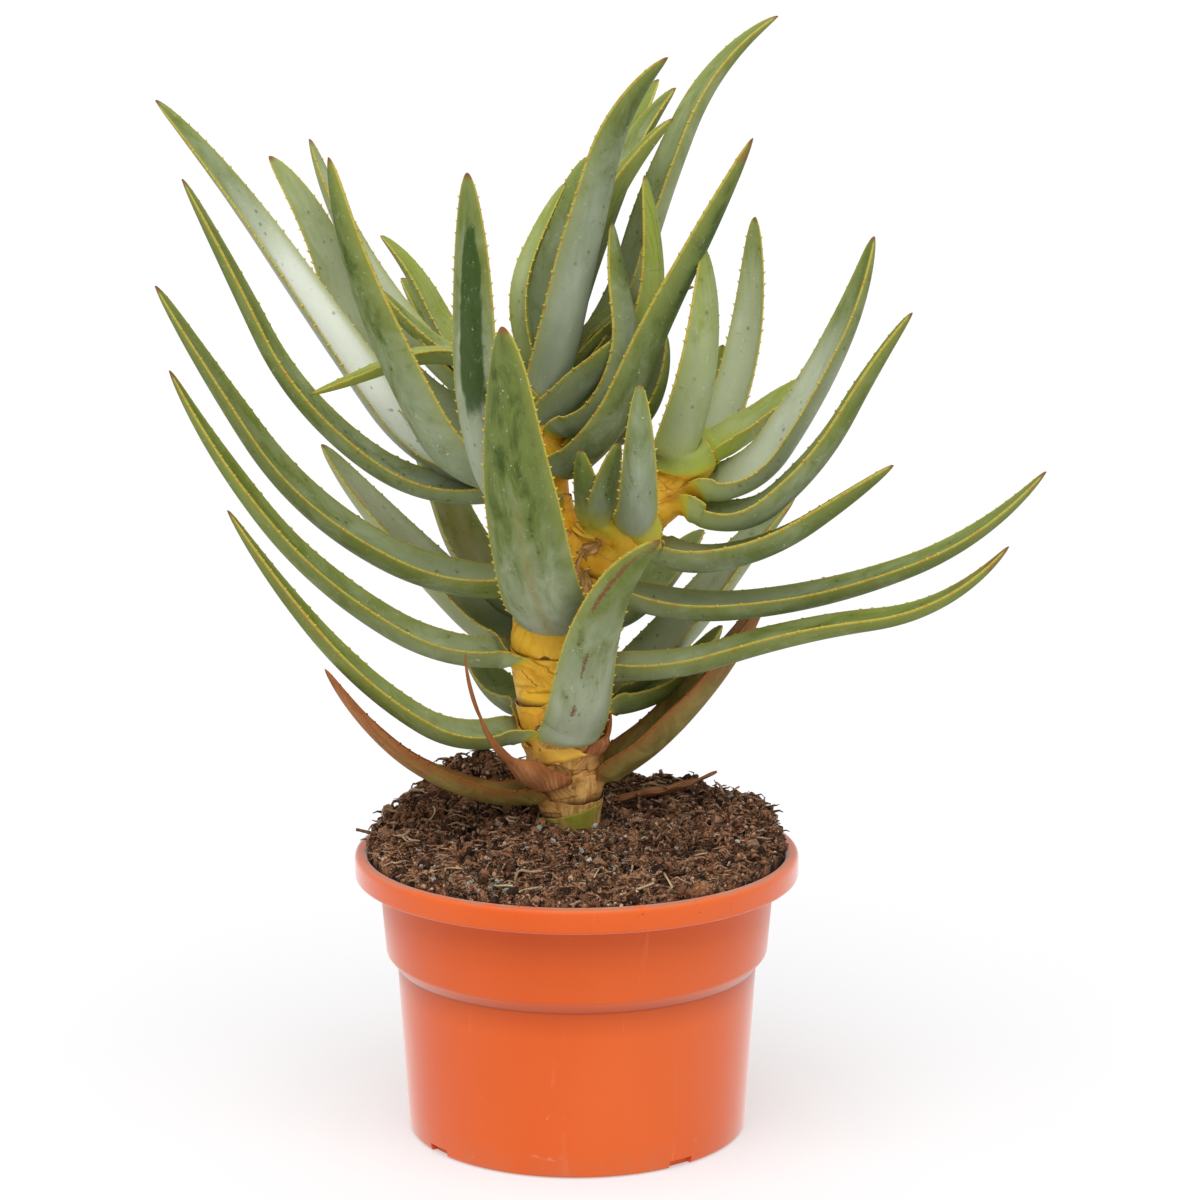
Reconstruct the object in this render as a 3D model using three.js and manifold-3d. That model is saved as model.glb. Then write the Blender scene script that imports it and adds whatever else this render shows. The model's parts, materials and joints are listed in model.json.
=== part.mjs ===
// A potted tree aloe: a plastic nursery pot filled with soil, a forked stem in yellow leaf sheaths,
// and two heads of long channelled leaves with toothed edges.
// Millimetres, +Z up. The origin is the centre of the pot's underside, and the front is towards -Y.
import * as THREE from "three";
import { mergeVertices } from "three/addons/utils/BufferGeometryUtils.js";
import Module from "manifold-3d";

const wasm = await Module();
wasm.setup();

const GAP = 0.3; // air left between two pieces that touch

// ---------------------------------------------------------------- driving dimensions
const POT = {
  footRadius: 80.6,
  footEdge: 1.6, // rounding of the bottom edge
  stepBottom: 80.7, // the wall steps out between these two heights
  stepTop: 86.8,
  stepInnerRadius: 85.3,
  stepOuterRadius: 90.5,
  collarRadius: 93.6, // just under the lip
  lipBottom: 123.6,
  lipRadius: 105,
  lipRound: 1.4, // rounding under the lip
  lipCrown: 3.2, // width of the rounded part of the lip's top
  lipInnerRadius: 99.5,
  height: 135,
  wall: 2.2,
  floor: 3,
  recess: 1.6, // the underside stands back this far between the foot ring and the middle disc
  recessInner: 26,
  recessOuter: 73,
  sides: 40,
};
const DRAINAGE = {
  holes: 6,
  holeRadius: 4.5,
  ring: 52,
  notches: 4,
  notchTurn: 37, // direction of the first notch in the foot
  notchWidth: 13,
  notchHeight: 3.6,
};

const SOIL = {
  frontHeight: 135, // top of the soil at the front
  backRise: 13, // it is this much higher at the back
  spread: 95, // over this distance each way from the middle
  edgeRise: 10, // next to the lip it stands at most this far above the pot
  // heaps round the stem, behind it on the left and at the right edge, as [x, y, size, height]
  heaps: [[0, 0, 32, 8], [-48, 46, 20, 19], [88, 10, 22, 8]],
  rough: 1.5, // its surface goes up and down by this
  rings: 8,
  sides: 40,
  lumps: 14,
  lumpSize: [2.4, 4.6],
  lumpSink: 0.2, // a crumb's middle is this share of its size below the surface
  hole: { radius: 17.2, depth: 110, sides: 20 }, // for the buried part of the stem
};

// The stem: each path is the axis as [x, y, z], with the radius at each of its points.
const STEM = {
  trunk: {
    path: [
      [-3, 0, 62], [-3, 0, 100], [-3, 0, 150], [-4, 0, 168],
      [-7, 0, 198], [-8.5, 0, 232], [-6, 0, 258], [-4, 0, 274],
    ],
    radius: [10, 13, 13.6, 16, 19.5, 21.5, 20, 12],
    sheaths: [155, 170, 184, 197, 211, 226, 242, 257],
    sides: 15,
  },
  tall: {
    path: [[-5, 0, 255], [-10, 1, 285], [-14.5, 3, 310], [-15, 5, 335], [-13, 7, 356], [-12, 8, 366]],
    radius: [13, 12, 9.5, 9, 8, 5],
    sheaths: [281, 294, 306, 319, 332, 345],
    sides: 11,
  },
  side: {
    path: [
      [-2, -2, 262], [7, -4, 279], [19, -6, 290], [34, -8, 301],
      [46, -8, 315], [51, -7, 326], [53, -6, 333],
    ],
    radius: [12, 14, 12.5, 11.5, 10.5, 8, 4],
    sheaths: [283, 293, 303, 313, 323],
    sides: 11,
  },
};

const SHEATH = {
  flare: 1.5, // a sheath's upper edge stands out this far
  slant: 3, // and slants by this much each way
  step: 0.004, // share of the branch over which the surface steps back above the edge
  room: 2.3, // leaves keep this far off the plain stem
};
const GOLDEN_ANGLE = 2.4; // radians from one sheath to the next round the stem

// Cross-section of a leaf, as shares of its width: an open channel that fills up towards the tip.
const BLADE = {
  channel: 0.52, // whole depth of the channel at the base
  channelTip: 0.46, // and at the tip
  rimShare: 0.55, // the edges stand this share of the depth above the mid-line
  floor: [-0.08, 0.42], // height of the channel's floor at the base and at the tip, in depths
  keelHalf: 0.24, // half-width of the flat underside
  footShare: 0.25, // the foot widens to the full width over this share of the length
  taper: [2.4, 0.55], // the half-width falls off as (1 - share ** 2.4) ** 0.55
  toothPitch: 20,
  toothLead: 0.7, // a tooth's point is this far along its pitch, so teeth lean forwards
  toothHeight: 1.3,
  toothMost: 0.25, // and a tooth is at most this share of the half-width
};

const MIDLINE_STEPS = 60;
const FOOT_WRAP = 1.5; // a leaf's foot is at most this many stem radii wide

// The leaves. Each starts on its stem's axis at a height, heads off in a compass direction (0 = +X,
// 90 = +Y, away from the front) that turns by `turn` on the way, and climbs at the four angles of
// `rise`, given at even shares of its length. `roll` turns the channel round the mid-line.
const leaf = (on, height, heading, turn, rise, length, width, roll = 0) =>
  ({ on, height, heading, turn, rise, length, width, roll });

const TRUNK_LEAVES = [
  leaf("trunk", 266, 180, -1, [-15, 28, 57, 61], 254, 25, -12),
  leaf("trunk", 233, 188, -1, [-16, 33, 53, 66], 242, 22, -12),
  leaf("trunk", 206, 197, -3, [-43, 34, 52, 61], 212, 20, -14),
  leaf("trunk", 239, 263, -19, [13, 49, 72, 89], 201, 40),
  leaf("trunk", 178, -80, 30, [30, 66, 52, 36], 161, 32),
  leaf("trunk", 231, 143, 8, [-10, 36, 39, 52], 170, 30),
  leaf("trunk", 256, 120, 20, [-30, 15, 60, 50], 164, 30),
  leaf("trunk", 212, 120, 14, [-40, -10, 28, 63], 95, 26),
  leaf("trunk", 270, -7, 1, [-31, 7, 22, 53], 244, 22, 8),
  leaf("trunk", 225, -12, 0, [-10, 20, 10, 55], 226, 21, 8),
  leaf("trunk", 209, 43, -15, [-20, 34, 45, 41], 173, 32),
  leaf("trunk", 251, 59, -9, [-30, 0, 27, 35], 129, 30),
  leaf("trunk", 209, 20, 4, [-23, 4, 35, 59], 96, 26),
  leaf("trunk", 243, 100, 4, [-10, 30, 55, 62], 160, 30),
];

const TALL_HEAD_LEAVES = [
  leaf("tall", 310, 172, 3, [-5, 55, 56, 48], 264, 23, -32),
  leaf("tall", 313, 186, 0, [-24, 35, 65, 64], 243, 21, -14),
  leaf("tall", 316, 213, -5, [-17, 59, 68, 82], 207, 27),
  leaf("tall", 329, 163, -2, [25, 43, 59, 74], 185, 22),
  leaf("tall", 330, 157, 4, [-12, 37, 71, 50], 207, 27, -38),
  leaf("tall", 342, 142, 6, [2, 37, 60, 37], 129, 20),
  leaf("tall", 336, 126, 10, [-17, 23, 53, 41], 133, 30),
  leaf("tall", 335, 193, 2, [67, 24, -19, -16], 126, 17),
  leaf("tall", 355, 170, 0, [-3, 20, 40, 57], 95, 20),
  leaf("tall", 300, 240, 22, [-7, 59, 90, 82], 205, 25),
  leaf("tall", 339, -51, 17, [68, 72, 72, 39], 187, 25),
  leaf("tall", 312, -41, 23, [19, 65, 61, 65], 200, 23),
  leaf("tall", 348, 26, -3, [31, 72, 65, 29], 217, 25),
  leaf("tall", 351, 8, -3, [80, 72, 61, 43], 142, 26),
  leaf("tall", 353, 42, -9, [68, 66, 61, 44], 157, 24),
  leaf("tall", 355, 58, -9, [62, 60, 57, 49], 163, 22),
  leaf("tall", 344, -10, -2, [10, 54, 91, 103], 135, 24),
  leaf("tall", 335, -30, -5, [-3, 56, 102, 100], 125, 19),
  leaf("tall", 344, 35, 10, [109, 104, 62, 49], 113, 13),
  leaf("tall", 354, 61, -11, [88, 79, 66, 59], 111, 24),
  leaf("tall", 347, 106, -20, [48, 55, 50, 40], 80, 20),
  leaf("tall", 334, -27, -7, [54, 43, 43, 61], 67, 26),
  leaf("tall", 332, 18, 4, [-27, 15, 65, 94], 94, 24),
  leaf("tall", 341, 11, -5, [66, 49, 31, 12], 95, 14),
  leaf("tall", 341, 34, -4, [66, 54, 39, 14], 74, 14),
];

const SIDE_HEAD_LEAVES = [
  leaf("side", 291, -17, 3, [-42, 11, 35, 40], 146, 24),
  leaf("side", 309, -16, 4, [-49, 41, 62, 55], 167, 23, 8),
  leaf("side", 312, -3, 4, [-19, 56, 65, 81], 164, 26, 20),
  leaf("side", 320, 26, 5, [15, 25, 33, 40], 79, 24),
  leaf("side", 320, 56, 4, [-2, 53, 78, 97], 144, 21),
  leaf("side", 309, -71, 24, [46, 59, 81, 104], 127, 24),
  leaf("side", 324, 79, -17, [-30, 23, 58, 78], 91, 18),
  leaf("side", 294, -83, -11, [-12, 34, 74, 104], 111, 19),
  leaf("side", 282, -88, 24, [24, 46, 59, 64], 74, 16),
  leaf("side", 283, -100, -15, [30, 48, 66, 85], 60, 16),
  leaf("side", 329, 20, 10, [80, 78, 75, 70], 62, 14),
];

const DRY_LEAVES = [
  leaf("trunk", 166, 198, -1, [-17, 21, 44, 61], 144, 19),
  leaf("trunk", 165, 3, 1, [18, 42, 52, 63], 134, 31),
  leaf("trunk", 166, 232, -10, [8, 35, 61, 84], 110, 18),
  leaf("trunk", 180, -30, 5, [-10, 50, 110, 150], 62, 12),
];

const FALLEN_LEAF = {
  from: [18, 24, 151.1],
  heading: 24,
  turn: 10,
  rise: [6, 2, 10, 20],
  roll: 0,
  length: 58,
  width: 9,
  foot: 0.5,
};
const TWIG = {
  path: [[-80, -6, 143], [-88, -4, 142.6], [-96, -5, 143.6], [-104, -7, 146]],
  radius: 0.8,
  sides: 6,
  steps: 6,
};

const COLOURS = {
  pot: 0xd9622f,
  soil: 0x3f2c22,
  stem: 0xc99a3c,
  leaf: 0x86967a,
  dryLeaf: 0x8a5a3c,
  twig: 0x5c3d2c,
};

// ---------------------------------------------------------------- solids and meshes
const toRadians = (degrees) => (degrees * Math.PI) / 180;
const mix = (a, b, share) => a + (b - a) * share;
const clamp01 = (value) => Math.min(1, Math.max(0, value));
const smooth = (value) => {
  const x = clamp01(value);
  return x * x * (3 - 2 * x);
};

// The value at `share` (0 to 1) of a list of evenly spaced values.
function along(values, share) {
  const place = clamp01(share) * (values.length - 1);
  const index = Math.min(values.length - 2, Math.floor(place));
  return mix(values[index], values[index + 1], place - index);
}

// A repeatable random sequence.
function randomFrom(seed) {
  let state = seed;
  return () => {
    state = (Math.imul(state, 1664525) + 1013904223) >>> 0;
    return state / 4294967296;
  };
}

// A closed three.js geometry as a solid, turned outwards if its faces point in.
function solid(geometry) {
  const bare = geometry.clone();
  bare.deleteAttribute("normal");
  bare.deleteAttribute("uv");
  const merged = mergeVertices(bare, 1e-4);
  const corners = new Uint32Array(merged.index.array);
  const vertices = merged.attributes.position.array;
  if (signedVolume(vertices, corners) < 0) corners.reverse();
  return new wasm.Manifold(new wasm.Mesh({ numProp: 3, vertProperties: vertices, triVerts: corners }));
}

function signedVolume(vertices, corners) {
  const point = (i) => new THREE.Vector3().fromArray(vertices, 3 * corners[i]);
  let volume = 0;
  for (let i = 0; i < corners.length; i += 3)
    volume += point(i).dot(point(i + 1).cross(point(i + 2))) / 6;
  return volume;
}

function meshOf(body, name, colour, roughness) {
  const { vertProperties, triVerts, numProp } = body.getMesh();
  const geometry = new THREE.BufferGeometry();
  const positions = new Float32Array((vertProperties.length / numProp) * 3);
  for (let i = 0; i < positions.length / 3; i++)
    positions.set(vertProperties.subarray(i * numProp, i * numProp + 3), 3 * i);
  geometry.setAttribute("position", new THREE.BufferAttribute(positions, 3));
  geometry.setIndex(new THREE.BufferAttribute(triVerts, 1));
  geometry.computeVertexNormals();
  const mesh = new THREE.Mesh(
    geometry,
    new THREE.MeshStandardMaterial({ color: colour, roughness, metalness: 0, flatShading: true }),
  );
  mesh.name = name;
  return mesh;
}

// A closed skin through rings of points, fanned to the points `start` and `end`.
function loft(rings, start, end) {
  const sides = rings[0].length;
  const points = [start, ...rings.flat(), end];
  const last = points.length - 1;
  const at = (ring, side) => 1 + ring * sides + (side % sides);
  const faces = [];
  for (let side = 0; side < sides; side++) {
    faces.push(0, at(0, side + 1), at(0, side));
    for (let ring = 0; ring < rings.length - 1; ring++) {
      const [a, b] = [at(ring, side), at(ring, side + 1)];
      const [c, d] = [at(ring + 1, side), at(ring + 1, side + 1)];
      faces.push(a, b, c, b, d, c);
    }
    faces.push(last, at(rings.length - 1, side), at(rings.length - 1, side + 1));
  }
  const geometry = new THREE.BufferGeometry();
  geometry.setAttribute(
    "position",
    new THREE.Float32BufferAttribute(points.flatMap((point) => point.toArray()), 3),
  );
  geometry.setIndex(faces);
  return geometry;
}

// ---------------------------------------------------------------- pot
function potProfile() {
  const p = POT;
  const inner = (radius) => radius - p.wall;
  return [
    [0, 0],
    [p.recessInner, 0],
    [p.recessInner + p.recess, p.recess],
    [p.recessOuter, p.recess],
    [p.recessOuter + p.recess, 0],
    [p.footRadius - p.footEdge, 0],
    [p.footRadius, p.footEdge],
    [p.stepInnerRadius, p.stepBottom],
    [p.stepOuterRadius, p.stepTop],
    [p.collarRadius, p.lipBottom],
    [p.lipRadius - p.lipRound, p.lipBottom],
    [p.lipRadius, p.lipBottom + p.lipRound],
    [p.lipRadius, p.height - 0.9 * p.lipCrown],
    [p.lipRadius - 0.3 * p.lipCrown, p.height - 0.25 * p.lipCrown],
    [p.lipRadius - p.lipCrown, p.height],
    [p.lipInnerRadius + 0.25 * p.lipCrown, p.height - 0.1 * p.lipCrown],
    [p.lipInnerRadius, p.height - 0.6 * p.lipCrown],
    [inner(p.collarRadius), p.lipBottom - p.wall],
    [inner(p.stepOuterRadius), p.stepTop + 0.3 * p.wall],
    [inner(p.stepInnerRadius), p.stepBottom + 0.3 * p.wall],
    [inner(p.footRadius), p.floor],
    [0, p.floor],
  ].map(([radius, height]) => new THREE.Vector2(radius, height));
}

function potBody() {
  const shell = new THREE.LatheGeometry(potProfile(), POT.sides).rotateX(Math.PI / 2);
  let body = solid(shell);
  const { holes, holeRadius, ring, notches, notchTurn, notchWidth, notchHeight } = DRAINAGE;
  for (let i = 0; i < holes; i++) {
    const hole = new THREE.CylinderGeometry(holeRadius, holeRadius, 3 * POT.floor, 10)
      .rotateX(Math.PI / 2)
      .translate(ring, 0, POT.floor)
      .rotateZ((2 * Math.PI * i) / holes);
    body = body.subtract(solid(hole));
  }
  for (let i = 0; i < notches; i++) {
    const notch = new THREE.BoxGeometry(3 * POT.wall, notchWidth, 2 * notchHeight)
      .translate(POT.footRadius, 0, 0)
      .rotateZ(toRadians(notchTurn + (360 * i) / notches));
    body = body.subtract(solid(notch));
  }
  return body;
}

// ---------------------------------------------------------------- soil
// Height of the soil without its crumbs: it climbs from the front to the back, and there are the heaps.
function soilHeight(x, y) {
  const slope = SOIL.backRise * smooth((y + SOIL.spread) / (2 * SOIL.spread));
  return SOIL.heaps.reduce(
    (total, [cx, cy, size, height]) =>
      total + height * Math.exp(-((x - cx) ** 2 + (y - cy) ** 2) / (2 * size ** 2)),
    SOIL.frontHeight + slope,
  );
}

function soilBody(stemHole) {
  const random = randomFrom(11);
  const edge = POT.lipInnerRadius - 2 * GAP;
  const wallRing = (radius, height) =>
    ringOf(SOIL.sides, (angle) => polar(radius - 2 * GAP, angle, height));
  const rings = [
    wallRing(POT.footRadius - POT.wall, POT.floor + GAP),
    wallRing(POT.stepInnerRadius - POT.wall, POT.stepBottom + GAP),
    wallRing(POT.stepOuterRadius - POT.wall, POT.stepTop + 0.5 * POT.wall),
    wallRing(POT.collarRadius - POT.wall, POT.lipBottom - POT.wall + GAP),
    wallRing(POT.lipInnerRadius, POT.height - 0.6 * POT.lipCrown),
  ];
  for (let ring = 0; ring < SOIL.rings - 1; ring++) {
    const radius = (edge - SOIL.rough) * (1 - ring / (SOIL.rings - 1));
    rings.push(ringOf(SOIL.sides, (angle) => {
      const spot = polar(radius - SOIL.rough * random(), angle, 0);
      spot.z = soilHeight(spot.x, spot.y) + mix(-SOIL.rough, SOIL.rough, random());
      if (ring === 0) spot.z = Math.min(spot.z, POT.height + SOIL.edgeRise);
      return spot;
    }));
  }
  const bottom = new THREE.Vector3(0, 0, POT.floor + GAP);
  const top = new THREE.Vector3(0, 0, soilHeight(0, 0));
  let body = solid(loft(rings, bottom, top));
  for (let i = 0; i < SOIL.lumps; i++) body = body.add(solid(soilLump(random)));
  return largest(body.subtract(stemHole));
}

// A crumb half sunk in the soil's surface.
function soilLump(random) {
  const size = mix(...SOIL.lumpSize, random());
  const reach = mix(SOIL.hole.radius + 5, POT.lipInnerRadius - 9, Math.sqrt(random()));
  const spot = polar(reach, 2 * Math.PI * random(), 0);
  return new THREE.IcosahedronGeometry(size, 0)
    .scale(1, mix(0.7, 1, random()), 0.75)
    .rotateZ(Math.PI * random())
    .translate(spot.x, spot.y, soilHeight(spot.x, spot.y) - SOIL.lumpSink * size);
}

function ringOf(sides, place) {
  return Array.from({ length: sides }, (_, i) => place((2 * Math.PI * i) / sides));
}

function polar(radius, angle, height) {
  return new THREE.Vector3(radius * Math.cos(angle), radius * Math.sin(angle), height);
}

// ---------------------------------------------------------------- stem
const curveThrough = (path) => new THREE.CatmullRomCurve3(path.map((point) => new THREE.Vector3(...point)));
const axisOf = (branch) => curveThrough(branch.path);

// Place on a branch's axis at a height, as a share of its points.
function shareAtHeight(branch, height) {
  const curve = axisOf(branch);
  let [low, high] = [0, 1];
  for (let i = 0; i < 24; i++) {
    const middle = (low + high) / 2;
    if (curve.getPoint(middle).z < height) low = middle;
    else high = middle;
  }
  return low;
}

// One branch: a round bar whose surface steps back above each sheath's slanting upper edge.
// `grow` widens it, and without sheaths it is a plain bar that holds the sheathed one.
function branchBody(branch, grow = 0, sheathed = true) {
  const curve = axisOf(branch);
  const ringAt = (share, extra, slant = 0, lean = 0) => {
    const centre = curve.getPoint(share);
    const ahead = curve.getTangent(share);
    const side = new THREE.Vector3(0, 1, 0).cross(ahead).normalize();
    const front = ahead.clone().cross(side);
    const radius = along(branch.radius, share) + extra + grow;
    return ringOf(branch.sides, (angle) =>
      centre.clone()
        .addScaledVector(side, radius * Math.cos(angle))
        .addScaledVector(front, radius * Math.sin(angle))
        .addScaledVector(ahead, slant * Math.cos(angle - lean)));
  };
  const rings = [ringAt(0, 0)];
  branch.sheaths.forEach((height, k) => {
    if (!sheathed) return;
    const share = shareAtHeight(branch, height);
    const lean = k * GOLDEN_ANGLE;
    rings.push(ringAt(share - SHEATH.step, SHEATH.flare, SHEATH.slant, lean));
    rings.push(ringAt(share + SHEATH.step, 0, SHEATH.slant, lean));
  });
  if (!sheathed)
    for (let i = 1; i < branch.path.length - 1; i++)
      rings.push(ringAt(i / (branch.path.length - 1), SHEATH.room));
  rings.push(ringAt(1, 0));
  const ahead = curve.getTangent(1).multiplyScalar(along(branch.radius, 1) * 0.6 + grow);
  const back = curve.getTangent(0).multiplyScalar(-grow);
  return solid(loft(rings, curve.getPoint(0).add(back), curve.getPoint(1).add(ahead)));
}

function stemBody() {
  return branchBody(STEM.trunk).add(branchBody(STEM.tall)).add(branchBody(STEM.side));
}

// The room that the stem takes from the leaves.
function stemRoom() {
  const room = (branch) => branchBody(branch, GAP, false);
  return room(STEM.trunk).add(room(STEM.tall)).add(room(STEM.side));
}

// A plain round hole for the buried part of the stem.
function stemHole() {
  const [x, y, bottom] = STEM.trunk.path[0];
  const { radius, depth, sides } = SOIL.hole;
  const hole = new THREE.CylinderGeometry(radius, radius, depth, sides).rotateX(Math.PI / 2);
  return solid(hole.translate(x, y, bottom - GAP + depth / 2));
}

// ---------------------------------------------------------------- leaves
// The mid-line of a leaf as evenly spaced points, with the direction at each.
function midline({ start, heading, turn, rise, length }) {
  const points = [start.clone()];
  const directions = [];
  for (let i = 0; i <= MIDLINE_STEPS; i++) {
    const climb = toRadians(along(rise, i / MIDLINE_STEPS));
    const way = toRadians(heading + (turn * i) / MIDLINE_STEPS);
    const ahead = new THREE.Vector3(
      Math.cos(climb) * Math.cos(way),
      Math.cos(climb) * Math.sin(way),
      Math.sin(climb),
    );
    directions.push({ ahead, across: new THREE.Vector3(-Math.sin(way), Math.cos(way), 0) });
    points.push(points[i].clone().addScaledVector(ahead, length / MIDLINE_STEPS));
  }
  return { points, directions };
}

// Shares of the length at which the edge has a notch or a tooth's point, in turn, up to the tip.
function stations(length) {
  const teeth = Math.max(4, Math.round(length / BLADE.toothPitch));
  return Array.from({ length: teeth }, (_, i) => [
    { share: i / teeth, tooth: 0 },
    { share: (i + BLADE.toothLead) / teeth, tooth: i === 0 ? 0 : BLADE.toothHeight },
  ]).flat();
}

function leafGeometry(spec, grow = 0) {
  const { points, directions } = midline(spec);
  const ringAt = ({ share, tooth }) => {
    const index = Math.min(MIDLINE_STEPS - 1, Math.floor(share * MIDLINE_STEPS));
    const centre = points[index].clone().lerp(points[index + 1], share * MIDLINE_STEPS - index);
    const { ahead, across } = directions[index];
    const roll = toRadians(spec.roll * smooth(share / BLADE.footShare));
    const sideways = across.clone().applyAxisAngle(ahead, roll);
    const upwards = ahead.clone().cross(sideways);
    const { half, rim, keel, floor } = section(spec, share);
    const edge = half + Math.min(tooth, BLADE.toothMost * half) + grow;
    const base = BLADE.keelHalf * 2 * half + 0.5 * grow;
    return [
      [-edge, rim + grow],
      [0, floor + grow],
      [edge, rim + grow],
      [base, -keel - grow],
      [-base, -keel - grow],
    ].map(([side, up]) => centre.clone().addScaledVector(sideways, side).addScaledVector(upwards, up));
  };
  const rings = stations(spec.length).map(ringAt);
  const tip = points[MIDLINE_STEPS].clone().addScaledVector(directions[MIDLINE_STEPS].ahead, grow);
  return loft(rings, points[0], tip);
}

// Half-width and heights of a leaf's cross-section at a share of its length.
function section({ width, foot }, share) {
  const [fullness, bluntness] = BLADE.taper;
  const taper = (1 - share ** fullness) ** bluntness;
  const half = 0.5 * width * mix(foot, 1, smooth(share / BLADE.footShare)) * taper;
  const depth = 2 * half * mix(BLADE.channel, BLADE.channelTip, share);
  return {
    half,
    rim: BLADE.rimShare * depth,
    keel: (1 - BLADE.rimShare) * depth,
    floor: depth * mix(...BLADE.floor, smooth(share)),
  };
}

// A leaf's full description: its start on the stem, and how far its foot narrows to fit round the stem.
function placed(spec) {
  const branch = STEM[spec.on];
  const share = shareAtHeight(branch, spec.height);
  const start = axisOf(branch).getPoint(share);
  const foot = Math.min(1, (FOOT_WRAP * along(branch.radius, share)) / spec.width);
  return { ...spec, start, foot };
}

// Leaves of one group, each cut back to clear the stem and the leaves made before it.
function growLeaves(prefix, list, colour, stemCut, made) {
  return list.map((spec, i) => {
    const whole = placed(spec);
    let body = solid(leafGeometry(whole)).subtract(stemCut);
    for (const other of made)
      if (body.intersect(other.grown).volume() > 0) body = largest(body.subtract(other.grown));
    body = largest(body);
    made.push({ grown: solid(leafGeometry(whole, GAP)) });
    return meshOf(body, prefix + "_" + String(i + 1).padStart(2, "0"), colour, 0.5);
  });
}

// The biggest of the separate bodies that a cut leaves.
function largest(body) {
  const parts = body.decompose();
  return parts.reduce((best, part) => (part.volume() > best.volume() ? part : best));
}

// ---------------------------------------------------------------- things on the soil
function fallenLeafBody() {
  const start = new THREE.Vector3(...FALLEN_LEAF.from);
  return solid(leafGeometry({ ...FALLEN_LEAF, start }));
}

function twigBody() {
  const outline = new THREE.Shape(ringOf(TWIG.sides, (angle) => {
    const { x, y } = polar(TWIG.radius, angle, 0);
    return new THREE.Vector2(x, y);
  }));
  const sweep = { steps: TWIG.steps, extrudePath: curveThrough(TWIG.path) };
  return solid(new THREE.ExtrudeGeometry(outline, sweep));
}

// ---------------------------------------------------------------- the plant
function buildPlant() {
  const plant = new THREE.Group();
  const stemCut = stemRoom();
  plant.add(meshOf(potBody(), "pot", COLOURS.pot, 0.45));
  plant.add(meshOf(soilBody(stemHole()), "soil", COLOURS.soil, 0.95));
  plant.add(meshOf(stemBody(), "stem", COLOURS.stem, 0.6));
  const made = [];
  plant.add(...growLeaves("trunk_leaf", TRUNK_LEAVES, COLOURS.leaf, stemCut, made));
  plant.add(...growLeaves("tall_head_leaf", TALL_HEAD_LEAVES, COLOURS.leaf, stemCut, made));
  plant.add(...growLeaves("side_head_leaf", SIDE_HEAD_LEAVES, COLOURS.leaf, stemCut, made));
  plant.add(...growLeaves("dry_leaf", DRY_LEAVES, COLOURS.dryLeaf, stemCut, made));
  plant.add(meshOf(fallenLeafBody(), "fallen_leaf", COLOURS.dryLeaf, 0.8));
  plant.add(meshOf(twigBody(), "twig", COLOURS.twig, 0.85));
  return plant;
}

export default buildPlant();
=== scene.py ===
"""Looks of a potted tree aloe: an orange nursery pot, dark soil, a forked stem wrapped in yellow leaf
sheaths, and two heads of long grey-green leaves with toothed yellow edges.

Lengths in the tables are millimetres and are turned into metres as meshes are made. +Z is up, the
origin is the centre of the pot's underside, and the front is towards -Y.
"""

from __future__ import annotations

import json
import logging
import math
import random
from collections.abc import Callable, Iterable, Sequence
from dataclasses import dataclass
from enum import Enum
from typing import Any

import bpy
import bmesh
import numpy as np
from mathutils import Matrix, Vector
from mathutils import noise as space_noise

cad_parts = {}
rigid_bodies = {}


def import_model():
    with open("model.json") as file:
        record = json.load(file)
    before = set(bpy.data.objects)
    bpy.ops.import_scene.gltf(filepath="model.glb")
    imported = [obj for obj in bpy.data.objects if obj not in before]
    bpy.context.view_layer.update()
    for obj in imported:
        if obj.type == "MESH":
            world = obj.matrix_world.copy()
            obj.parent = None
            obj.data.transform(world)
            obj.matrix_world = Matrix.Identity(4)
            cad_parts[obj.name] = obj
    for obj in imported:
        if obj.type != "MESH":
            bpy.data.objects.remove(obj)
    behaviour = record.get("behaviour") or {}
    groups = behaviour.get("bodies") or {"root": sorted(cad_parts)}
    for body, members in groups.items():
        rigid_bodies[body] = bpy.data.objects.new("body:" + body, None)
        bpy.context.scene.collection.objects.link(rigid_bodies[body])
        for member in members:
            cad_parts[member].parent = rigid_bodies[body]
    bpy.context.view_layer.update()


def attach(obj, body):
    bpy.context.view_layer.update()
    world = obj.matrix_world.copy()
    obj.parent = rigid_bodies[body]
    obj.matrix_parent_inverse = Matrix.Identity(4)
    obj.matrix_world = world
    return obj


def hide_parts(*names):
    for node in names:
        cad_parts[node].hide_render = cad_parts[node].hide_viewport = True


log = logging.getLogger("aloe")

MM = 0.001
BODY = "root"
GOLDEN_ANGLE = 2.4
LEAST_LENGTH = 1e-9

Array = np.ndarray
Rows = tuple[tuple[float, ...], ...]
Traits = dict[str, Any]
Given = dict[Any, Any] | None
Mesh, Object, Material = bpy.types.Mesh, bpy.types.Object, bpy.types.Material
Node, Socket = bpy.types.Node, bpy.types.NodeSocket


# ------------------------------------------------------------------------------ small maths
def smooth(value: Any) -> Any:
    """Ease a share from 0 to 1, number or array."""
    x = np.clip(value, 0.0, 1.0)
    return x * x * (3 - 2 * x)


def fading(value: Any, start: float, length: float) -> Any:
    """Ease from 1 to 0 as a value runs on from a start over a length."""
    return 1 - smooth((value - start) / length)


def mix(first: Any, second: Any, share: Any) -> Any:
    """Blend two values by a share."""
    return first + (second - first) * share


def along(values: Sequence[float], share: Any) -> Any:
    """Read a list of evenly spaced values at a share from 0 to 1."""
    return np.interp(share, np.linspace(0, 1, len(values)), values)


def unit(rows: Array) -> Array:
    """Scale each row vector to length one."""
    return rows / np.maximum(np.linalg.norm(rows, axis=-1, keepdims=True), LEAST_LENGTH)


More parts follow.
